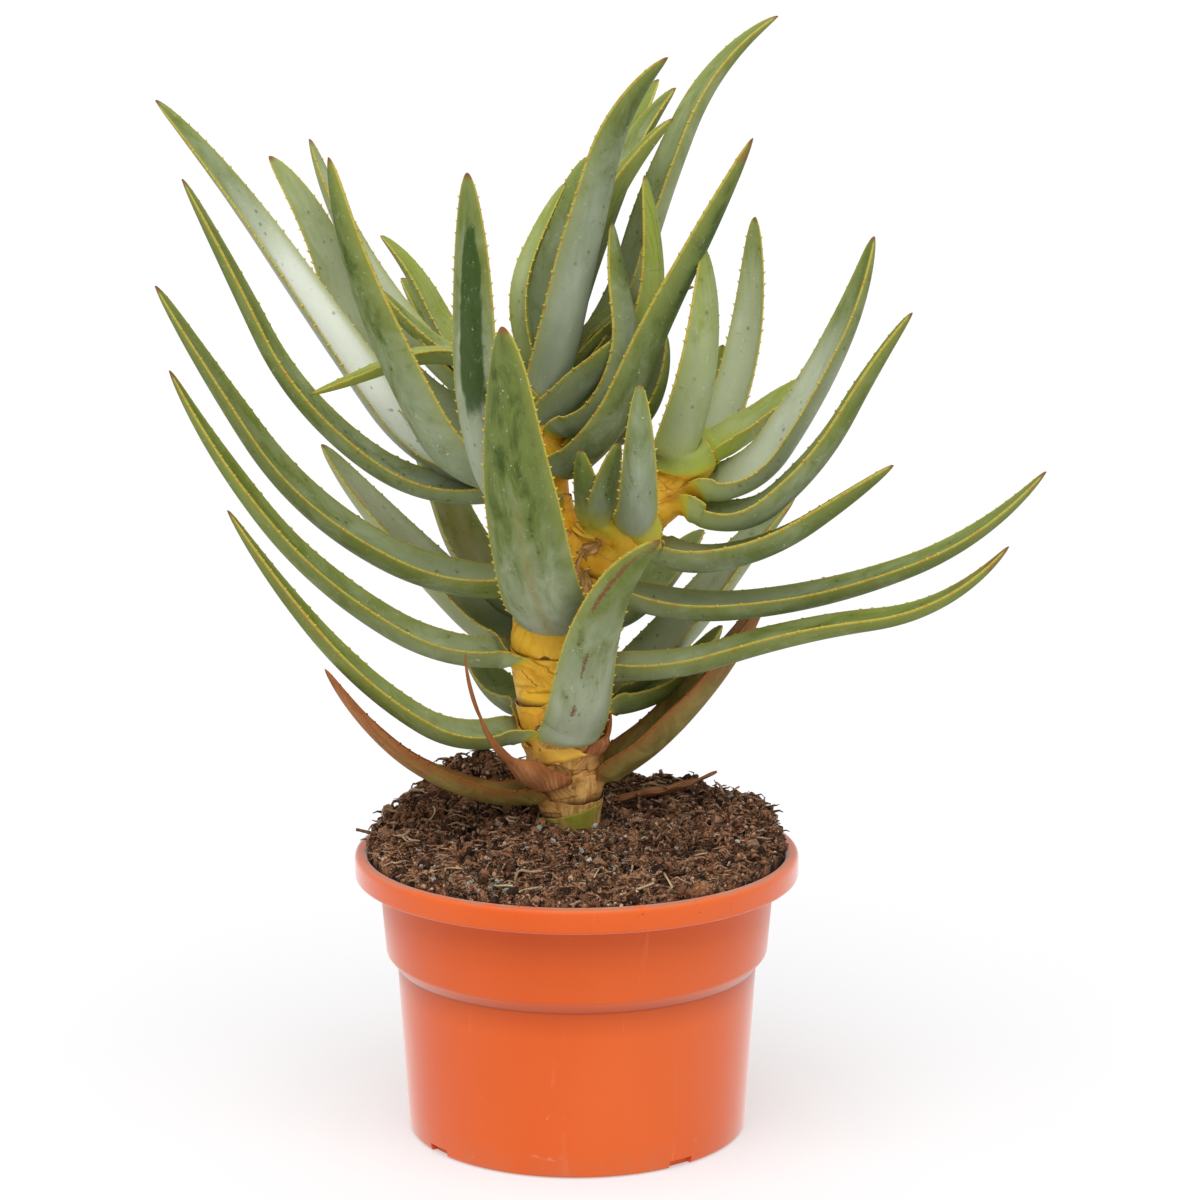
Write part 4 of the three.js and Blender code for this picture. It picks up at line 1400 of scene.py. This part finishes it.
SIDE_HEAD_LEAVES = (
    Leaf(B, 291, -17, 3, (-42, 11, 35, 40), 146, 24, tone=0.05, worn=0.4, dusk=0.5, lush=0.3, gold=12),
    Leaf(B, 309, -16, 4, (-49, 41, 62, 55), 167, 23, 8, tone=0.15, worn=0.3, dusk=0.3, lush=0.5, gold=14),
    Leaf(B, 312, -3, 4, (-19, 56, 65, 81), 164, 26, 20,
         tone=0.2, worn=0.1, dusk=0.1, lush=0.7, gold=14, marks=(
        # pale bloom, strong enough here to carry a painted highlight
        Mark(PALE, 0.4, 0.3, 0.0, 1.2, 0.75),
    )),
    Leaf(B, 320, 26, 5, (15, 25, 33, 40), 79, 24, tone=0.75, lush=0.9, gold=14),
    Leaf(B, 320, 56, 4, (-2, 53, 78, 97), 144, 21, tone=0.55, worn=-0.15, lush=0.8, gold=14, marks=(
        Mark(PALE, 0.5, 0.4, 0.0, 1.2, 0.4),
    )),
    Leaf(B, 309, -71, 24, (46, 59, 81, 104), 127, 24,
         tone=0.5, worn=-0.15, dusk=0.0, lush=0.8, gold=20, deep=10, marks=(
        Mark(DARK, 0.3, 0.04, 0.0, 0.5, 0.3),
    )),
    Leaf(B, 324, 79, -17, (-30, 23, 58, 78), 91, 18, tone=0.8, lush=0.8, gold=14),
    Leaf(B, 294, -83, -11, (-12, 34, 74, 104), 111, 19,
         tone=0.0, tip=0.4, worn=-0.1, dusk=0.1, gold=44, bulb=4.5),
    Leaf(B, 282, -88, 24, (24, 46, 59, 64), 74, 16, tone=0.1, worn=0.1, gold=50, bulb=6.0),
    Leaf(B, 283, -100, -15, (30, 48, 66, 85), 60, 16, tone=0.2, gold=46, bulb=5.0),
    Leaf(B, 329, 20, 10, (80, 78, 75, 70), 62, 14, tone=0.9, gold=16),
)

DRY_LEAVES = (
    Leaf(T, 166, 198, -1, (-17, 21, 44, 61), 144, 19, tone=0.62),
    Leaf(T, 165, 3, 1, (18, 42, 52, 63), 134, 31, tone=0.85),
    Leaf(T, 166, 232, -10, (8, 35, 61, 84), 110, 18, tone=0.0, twist=200, strap=1.0, bulb=3.0),
    Leaf(T, 180, -30, 5, (-10, 50, 110, 150), 62, 12, tone=0.0, twist=120, strap=0.6),
)


@dataclass
class Foliage:
    """All leaves, each in place of its solid."""

    pitch: float = 5.4
    tooth: float = 1.35
    head_lap: float = 12.0
    dry_lap: float = 9.0
    dry_wrap: tuple[float, float] = (36.0, 50.0)

    def _grow(
        self, prefix: str, leaves: Sequence[Leaf], slot: str, material: Material, first_seed: int
    ) -> None:
        """Make one group of leaves.

        Args:
            prefix: the pieces' names without their numbers.
            leaves: the table of leaves.
            slot: the material slot, which is the dry one for dead leaves.
            material: their material.
            first_seed: seed of the first leaf; the others follow.
        """
        for k, leaf in enumerate(leaves):
            name, seed = f"{prefix}_{k + 1:02d}", first_seed + k
            blade = Blade(leaf, seed)
            if leaf.on is not T:
                blade.lap = self.head_lap
            if slot == "dry_leaf":
                blade.dry, blade.lap, blade.wrap = 1.0, self.dry_lap, self.dry_wrap
            mesh = blade.mesh(name + "_skin")
            mesh.materials.append(material)
            if not leaf.strap:
                thing = link(name + "_skin", mesh)
                size = {"Pitch": self.pitch * MM, "Height": self.tooth}
                mesh = self.teeth.cook(thing, Seed=seed, Material=material, **size)
            settle(name + "_skin", mesh, slot, name)

    def build(self, living: LeafFinish, dead: DryFinish) -> None:
        """Make every leaf on the plant."""
        self.teeth = tooth_recipe()
        green, brown = living.material(), dead.material()
        self._grow("trunk_leaf", TRUNK_LEAVES, "leaf", green, 10)
        self._grow("tall_head_leaf", TALL_HEAD_LEAVES, "leaf", green, 40)
        self._grow("side_head_leaf", SIDE_HEAD_LEAVES, "leaf", green, 80)
        self._grow("dry_leaf", DRY_LEAVES, "dry_leaf", brown, 110)


# ------------------------------------------------------------------------------ pot
@dataclass
class Pot:
    """Round tapered nursery pot with a step in its wall and a rolled lip.

    Each notch in the foot is cut by a box with its size inwards, along the foot and upwards. Oval is
    how far the pot is out of round, longest the longest stretch of profile, sharp the angle from
    which an edge isn't smoothed.
    """

    foot_radius: float = 80.6
    step_bottom: float = 80.7
    step_middle: float = 84.0
    step_top: float = 86.8
    step_inner: float = 85.3
    step_outer: float = 90.5
    collar: float = 93.6
    lip_bottom: float = 123.6
    lip_radius: float = 105.0
    lip_inner: float = 99.5
    height: float = 135.0
    wall: float = 2.2
    floor: float = 3.0
    recess: float = 1.6
    recess_inner: float = 26.0
    recess_outer: float = 73.0
    holes: int = 6
    hole_radius: float = 4.5
    hole_ring: float = 52.0
    notches: int = 4
    notch_turn: float = 37.0
    notch: tuple[float, float, float] = (6.6, 13.0, 7.2)
    oval: float = 0.0012
    sides: int = 192
    longest: float = 12.0
    sharp: float = 50.0

    def _corners(self) -> list[tuple[float, float, float]]:
        """Corners of the profile as radius, height and rounding."""
        w = self.wall
        return [
            (0, 0, 0),
            (self.recess_inner, 0, 0.4),
            (self.recess_inner + self.recess, self.recess, 0.4),
            (self.recess_outer, self.recess, 0.4),
            (self.recess_outer + self.recess, 0, 0.4),
            (self.foot_radius, 0, 1.8),
            (self.step_inner, self.step_bottom, 0.9),
            (self.step_outer, self.step_top, 1.1),
            (self.collar, self.lip_bottom, 1.0),
            (self.lip_radius, self.lip_bottom, 1.6),
            (self.lip_radius, self.height, 3.0),
            (self.lip_inner, self.height, 1.2),
            (self.lip_inner - 0.2, self.height - 3.0, 0.8),
            (self.collar - w, self.lip_bottom - w, 1.0),
            (self.step_outer - w, self.step_top + 0.7, 1.6),
            (self.step_inner - w, self.step_bottom + 0.7, 1.6),
            (self.foot_radius - w, self.floor, 1.5),
            (0, self.floor, 0),
        ]

    def _profile(self) -> Array:
        """The profile with its corners rounded and its long lines divided, without its ends."""
        corners = self._corners()
        points: list[Array] = []
        for before, corner, after in zip(corners, corners[1:], corners[2:]):
            here, most = np.array(corner[:2]), corner[2]
            ways = [np.array(end[:2]) - here for end in (before, after)]
            lengths = [np.linalg.norm(way) for way in ways]
            start, end = (here + way / size * min(most, 0.45 * size) for way, size in zip(ways, lengths))
            points += [mix(mix(start, here, t), mix(here, end, t), t) for t in np.linspace(0, 1, 6)]
            steps = int(lengths[1] // self.longest)
            points += [mix(end, here + ways[1], k / steps) for k in range(1, steps)]
        return np.array(points)

    def build(self, finish: PotFinish) -> None:
        """Turn the profile, cut the drainage holes and the notches in the foot."""
        profile = self._profile()
        turn = circle(self.sides)
        radius, height = profile[:, :1], profile[:, 1:]
        oval = 1 + self.oval * np.cos(2 * turn)
        # painted shade under the lip: deepest just below it, and at the front and back more than at the sides
        band = smooth((height - self.step_top - 1.2) / 30) * fading(height, self.lip_bottom - 0.6, 2)
        crease, slope = height - self.step_bottom, (height - self.step_middle) / 3
        dust = smooth((height - self.height + 1.6) / 1.6)
        mesh = skin("pot_wall", vectors(radius * np.cos(turn) * oval, radius * np.sin(turn), height), {
            "rim": smooth((height - self.lip_bottom + 5.6) / 12),
            "soiled": np.maximum(0.55 * dust, 0.25 * fading(height, 0, 6)),
            "low": fading(height, 0, 60),
            "band": band * mix(0.4, 1.0, np.sin(turn) ** 2),
            # painted shade: a dark line along the step's crease, fainter over its slope
            "fold": np.exp(-(crease**2)) + 0.5 * np.exp(-(slope**2)),
        })
        mesh.materials.append(finish.material())
        pot = link("pot_moulded", mesh)
        cutters = [self._hole(k) for k in range(self.holes)] + [self._notch(k) for k in range(self.notches)]
        for cutter in cutters:
            cut = pot.modifiers.new("cut", "BOOLEAN")
            cut.operation, cut.solver, cut.object = "DIFFERENCE", "EXACT", cutter
        mesh = evaluated(pot)
        for cutter in cutters:
            bpy.data.objects.remove(cutter)
        mesh.set_sharp_from_angle(angle=math.radians(self.sharp))
        settle("pot_moulded", mesh, "pot", "pot")

    def _hole(self, k: int) -> Object:
        """Cutter for a round drainage hole."""
        centre = self.hole_ring * heading(2 * math.pi * k / self.holes)
        path = centre + [[0, 0, z] for z in (-4, 0, 4, 8)]
        return link(f"hole_{k}", tube(f"hole_{k}", path, self.hole_radius, 24))

    def _notch(self, k: int) -> Object:
        """Cutter for a notch in the foot."""
        way = math.radians(self.notch_turn + 360 * k / self.notches)
        ends = (-0.5, 0.5)
        box = np.array([[x, y, z] for x in ends for y in ends for z in ends]) * self.notch
        points = (box + [self.foot_radius, 0, 0]) @ [heading(way), leftward(way), [0, 0, 1]]
        faces = [(0, 1, 3, 2), (4, 6, 7, 5), (0, 4, 5, 1), (2, 3, 7, 6), (0, 2, 6, 4), (1, 5, 7, 3)]
        return link(f"notch_{k}", mesh_from(f"notch_{k}", points, faces))


# ------------------------------------------------------------------------------ soil
@dataclass(frozen=True)
class Loose:
    """One sort of loose bit strewn over the soil: how many to the square metre, how large, how deep."""

    density: float
    least: float
    most: float
    tilt: float
    sink: float
    where: str
    seed: int


@dataclass
class Soil:
    """Growing mix that fills the pot, with crumbs, bark fibres, grit and straws on it.

    Heaps give their place, size and rise, clods how fine and how tall each level of them is, and
    gravels where grit lies, how wide and how thickly. Straws give their place, length, compass
    angle and radius.
    """

    pot: Pot
    front: float = 135.0
    back_rise: float = 13.0
    spread: float = 95.0
    edge_rise: float = 10.0
    wall_gap: float = 0.6
    well: tuple[float, float] = (13.0, 7.0)
    bare: float = 19.0
    heaps: Rows = ((0, 0, 32, 8), (-48, 46, 20, 19), (88, 10, 22, 8))
    rings: int = 140
    sides: int = 400
    clods: Rows = ((0.05, 2.8), (0.1, 4.6), (0.24, 4.6), (0.5, 3.2), (0.95, 1.8))
    gravels: Rows = (
        (-56, -62, 16, 1.3), (-40, -74, 10, 1.3), (15, -35, 12, 0.5), (-28, -30, 14, 0.4),
    )
    straws: Rows = (
        (-22, -86, 18, 40, 0.6), (-29, -83, 17, -35, 0.55), (28, -82, 24, 48, 0.6), (42, -72, 22, 100, 0.5),
        (-60, -58, 18, 20, 0.4), (62, -40, 14, 170, 0.4), (10, -62, 13, 75, 0.35), (48, 30, 16, 130, 0.4),
        (-70, 10, 14, 80, 0.4), (-20, 62, 18, 10, 0.4),
    )

    def height(self, x: Array, y: Array) -> Array:
        """Height of the soil without its clods."""
        top = self.front + self.back_rise * smooth((y + self.spread) / (2 * self.spread))
        for cx, cy, size, rise in self.heaps:
            top = top + rise * np.exp(-((x - cx) ** 2 + (y - cy) ** 2) / (2 * size**2))
        return top

    def _rough(self, x: Array, y: Array) -> Array:
        """Clods on the surface, at several sizes."""
        total = np.zeros(x.size)
        for level, (fine, tall) in enumerate(self.clods):
            here = zip(x.ravel() * fine, y.ravel() * fine)
            total += tall * np.array([noise_at(a, b, level * 11.3) for a, b in here])
        return total.reshape(x.shape)

    def surface(self) -> Mesh:
        """The top skin with its buried wall, closed below."""
        pot, turn = self.pot, circle(self.sides)
        edge = pot.lip_inner - 0.7
        radii = np.linspace(edge, edge * 0.03, self.rings)[:, None]
        x, y = radii * np.cos(turn), radii * np.sin(turn)
        rim = self.edge_rise * mix(0.4, 1.0, smooth((edge - radii) / 6))
        most = pot.height + rim + 40 * smooth((edge - radii) / 30)
        z = np.minimum(self.height(x, y) + self._rough(x, y), most)
        z = mix(z, self.height(x, y) - 0.5, fading(radii, *self.well))
        inner = pot.wall + self.wall_gap
        walls = np.array([
            (pot.foot_radius - inner, pot.floor + 0.3),
            (pot.step_inner - inner, pot.step_bottom + 0.3),
            (pot.step_outer - inner, pot.step_top + 1.1),
            (pot.collar - inner, pot.lip_bottom - 1.9),
            (edge, 131.0),
        ])
        low = vectors(walls[:, :1] * np.cos(turn), walls[:, :1] * np.sin(turn), walls[:, 1:])
        rings = np.concatenate([low, vectors(x, y, z)])
        x, y, z = np.moveaxis(rings, 2, 0)
        spots = (most * np.exp(-((x - a) ** 2 + (y - b) ** 2) / size**2) for a, b, size, most in self.gravels)
        grit = 0.05 + sum(spots)
        on_top = (np.arange(len(rings)) > len(low) + 1)[:, None] * (x**2 + y**2 > self.bare**2) * 1.0
        # painted shade in the hollows between clods and painted light on their tops
        shade = np.clip(0.62 - (z - self.height(x, y)) / 6.5, 0.2, 1.0)
        return skin("soil_top", rings, {"shade": shade, "strewn": on_top, "gritty": on_top * grit})

    @staticmethod
    def _lump(seed: int, flat: float) -> Mesh:
        """An irregular crumb of about one millimetre."""
        shape = bmesh.new()
        bmesh.ops.create_icosphere(shape, subdivisions=1, radius=1.0)
        for vertex in shape.verts:
            x, y, z = vertex.co
            bump = MM * (1 + 0.85 * space_noise.noise(vertex.co * 2.1 + Vector((seed * 3.1, 0, 0))))
            vertex.co = Vector((x * bump, y * bump * 0.8, z * bump * flat))
        return to_mesh(shape, bpy.data.meshes.new(f"lump_{seed}"))

    @staticmethod
    def _shred(seed: int) -> Mesh:
        """A bent sliver of bark or root about ten millimetres long."""
        draw = random.Random(seed)
        share = np.linspace(-1, 1, 8)
        bow, lift = draw.uniform(-2.6, 2.6), draw.uniform(0.2, 1.6)
        kink = draw.uniform(-1.6, 1.6) * np.sin(share * draw.uniform(3, 6))
        path = vectors(5 * share, bow * share**2 + kink, lift * (1 - share**2) + 0.3 * np.sin(share * 7))
        return tube(f"shred_{seed}", path, draw.uniform(0.3, 0.6) * (1 - 0.7 * share**2) + 0.05, 4)

    def _strew(self, name: str, bits: bpy.types.Collection, loose: Loose, finish: EarthFinish) -> None:
        """Scatter one sort of bit over the soil as a piece of its own."""
        given = {label.capitalize(): value for label, value in vars(loose).items()}
        given["Sink"] *= MM
        mesh = self.recipe.cook(link(name, self.top.copy()), Bits=bits, Material=finish.material(), **given)
        settle(name, mesh, "soil")

    def build(self) -> None:
        """Make the soil and everything that lies on it."""
        self.top = self.surface()
        earth = EarthFinish("soil_mix", "1a0f09", "7c5136", "cc9e7b", 130.0)
        settle("soil_top", self.top.copy(), "soil", "soil", material=earth.material())
        self.recipe = scatter_recipe()
        bits = {
            "lumps": [self._lump(k, 0.8) for k in range(6)],
            "chips": [self._lump(k + 20, 0.45) for k in range(6)],
            "shreds": [self._shred(k) for k in range(12)],
        }
        sorts = {name: bpy.data.collections.new(name) for name in bits}
        for name, meshes in bits.items():
            for mesh in meshes:
                sorts[name].objects.link(bpy.data.objects.new(mesh.name, mesh))
        crumb = EarthFinish("crumb_mix", "20130b", "a06c49", "f0caa8", 260.0, 0.75)
        clod = EarthFinish("clod_mix", "22140c", "8f5f42", "caa07c", 240.0, 0.3)
        shred = EarthFinish("shred_mix", "482b1b", "a07253", "eecdaa", 260.0)
        grit = EarthFinish("grit_mix", "939a8e", "c0beb2", "e4e0d4", 500.0)
        self._strew("soil_crumbs", sorts["lumps"], Loose(150000.0, 0.45, 1.5, 1.5, 0.1, "strewn", 3), crumb)
        self._strew("soil_clods", sorts["lumps"], Loose(14000.0, 1.2, 3.9, 1.5, 0.3, "strewn", 4), clod)
        self._strew("soil_shreds", sorts["shreds"], Loose(30000.0, 0.25, 1.5, 0.5, 0.9, "strewn", 5), shred)
        self._strew("soil_grit", sorts["chips"], Loose(34000.0, 0.6, 2.1, 0.8, 0.9, "gritty", 8), grit)
        for sort in sorts.values():
            for thing in list(sort.objects):
                bpy.data.objects.remove(thing)
            bpy.data.collections.remove(sort)
        self._straws()

    def _straws(self) -> None:
        """Pale dry stems lying on the soil."""
        meshes = []
        share = np.linspace(-0.5, 0.5, 9)
        arch = 4 * (0.25 - share**2)
        for k, (x, y, length, angle, radius) in enumerate(self.straws):
            way = math.radians(angle)
            ahead, left = length * share, 2.5 * math.sin(k * 2.1) * arch
            path = [x, y, 0] + ahead[:, None] * heading(way) + left[:, None] * leftward(way)
            over_rim = np.hypot(path[:, 0], path[:, 1]) > self.pot.lip_inner - 2
            lying = self.height(path[:, 0], path[:, 1]) + 3.2 + 0.8 * arch
            path[:, 2] = np.maximum(lying, np.where(over_rim, self.pot.height + radius, lying))
            meshes.append(tube(f"straw_{k}", path, radius, 6))
        finish = EarthFinish("straw_mix", "a98d62", "cdb384", "e0cda4", 400.0)
        settle("soil_straws", joined("soil_straws", meshes), "soil", material=finish.material())


@dataclass
class Litter:
    """A fallen dry leaf and a twig that lie on the soil."""

    leaf_from: tuple[float, float, float] = (18, 24, 151.1)
    leaf_way: tuple[float, float] = (24, 34)
    leaf_climb: tuple[float, ...] = (6, 2, 10, 20)
    leaf_length: float = 58.0
    leaf_half: float = 4.5
    twig: Rows = (
        (-80, -6, 143), (-88, -4, 142.6), (-96, -5, 143.6), (-104, -7, 146),
    )

    def build(self, brown: Material) -> None:
        """Make both pieces."""
        self._fallen(brown)
        self._twig()

    def _fallen(self, brown: Material) -> None:
        """A narrow dry blade, rolled at its edges."""
        share = np.linspace(0, 1, 46)
        way = np.radians(along(self.leaf_way, share))
        ahead = heading(way, np.radians(along(self.leaf_climb, share)))
        path = walk(self.leaf_from, ahead * self.leaf_length / (len(share) - 1))
        side = leftward(way)
        share, turn = share[:, None], circle(20)
        half = self.leaf_half * mix(0.5, 1, smooth(share * 4)) * (1 - share**2.4) ** 0.8 + 0.15
        across = np.cos(turn)
        high = across**2 * half * 0.55 + 0.42 * np.sin(turn) + 0.5 * np.sin(share * 21) * across
        mesh = skin("fallen_leaf_skin", swept(path, side, np.cross(ahead, side), half * across, high), {
            "flow": vectors(self.leaf_half * across, self.leaf_length * share, 3 + (np.sin(turn) > 0)),
            "tone": 0.0,
            "edge": np.abs(across) > 0.97,
            "hem": 0.0,
        })
        settle("fallen_leaf_skin", mesh, "dry_leaf", "fallen_leaf", material=brown)

    def _twig(self) -> None:
        """A short bent twig with swollen nodes."""
        share = np.linspace(0, 1, 40)
        nodes = np.exp(-((((share % 0.31) - 0.155) / 0.03) ** 2))
        radius = 0.75 + 0.22 * nodes + 0.05 * np.sin(share * 60)
        bark = EarthFinish("twig_bark", "3b2619", "6b4a31", "8a6848", 300.0)
        mesh = tube("twig_bark", catmull(np.array(self.twig, float), share), radius, 12)
        settle("twig_bark", mesh, "twig", "twig", material=bark.material())


# ------------------------------------------------------------------------------ studio
@dataclass
class Studio:
    """Floor, soft light and the camera."""

    eye: tuple[float, float, float] = (0.011, -1.6, 0.576)
    pitch: float = 0.198
    focal: float = 3490.0
    frame: float = 1200.0
    sensor: float = 36.0
    clip: tuple[float, float] = (0.05, 100.0)
    floor_radius: float = 40.0
    floor_drop: float = 0.0003
    surround: float = 0.68
    key: float = 2.3
    key_from: tuple[float, float, float] = (-0.1, -0.7, 1.4)
    softness: float = 60.0

    def build(self) -> None:
        """Set up the studio round the plant."""
        self._floor()
        self._lights()
        self._camera()

    def _floor(self) -> None:
        """A wide round floor."""
        shape = bmesh.new()
        bmesh.ops.create_circle(shape, cap_ends=True, segments=96, radius=self.floor_radius)
        mesh = to_mesh(shape, bpy.data.meshes.new("floor"))
        mesh.materials.append(FloorFinish().material())
        floor = link("floor", mesh)
        floor.location.z = -self.floor_drop

    def _lights(self) -> None:
        """White surroundings and one very soft key light."""
        world = bpy.data.worlds.new("studio")
        world.use_nodes = True
        background = world.node_tree.nodes["Background"]
        background.inputs["Color"].default_value = (1, 1, 1, 1)
        background.inputs["Strength"].default_value = self.surround
        bpy.context.scene.world = world
        lamp = bpy.data.lights.new("key", "SUN")
        lamp.energy, lamp.angle = self.key, math.radians(self.softness)
        link("key", lamp).rotation_euler = (-Vector(self.key_from)).to_track_quat("-Z", "Y").to_euler()

    def _camera(self) -> None:
        """The photograph's viewpoint."""
        lens = bpy.data.cameras.new("camera")
        lens.sensor_width = self.sensor
        lens.lens = self.sensor * self.focal / self.frame
        lens.clip_start, lens.clip_end = self.clip
        camera = link("camera", lens)
        camera.location = self.eye
        camera.rotation_euler = (math.pi / 2 - self.pitch, 0, 0)
        bpy.context.scene.camera = camera
        bpy.context.scene.view_settings.view_transform = "Standard"


def main() -> None:
    """Build the plant round its solids."""
    logging.basicConfig(level=logging.INFO, format="%(name)s %(message)s")
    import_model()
    Studio().build()
    pot = Pot()
    pot.build(PotFinish())
    Soil(pot).build()
    Stem().build(StemFinish())
    Foliage().build(LeafFinish(), DryFinish())
    Litter().build(bpy.data.materials[DryFinish.name])


if __name__ == "__main__":
    main()
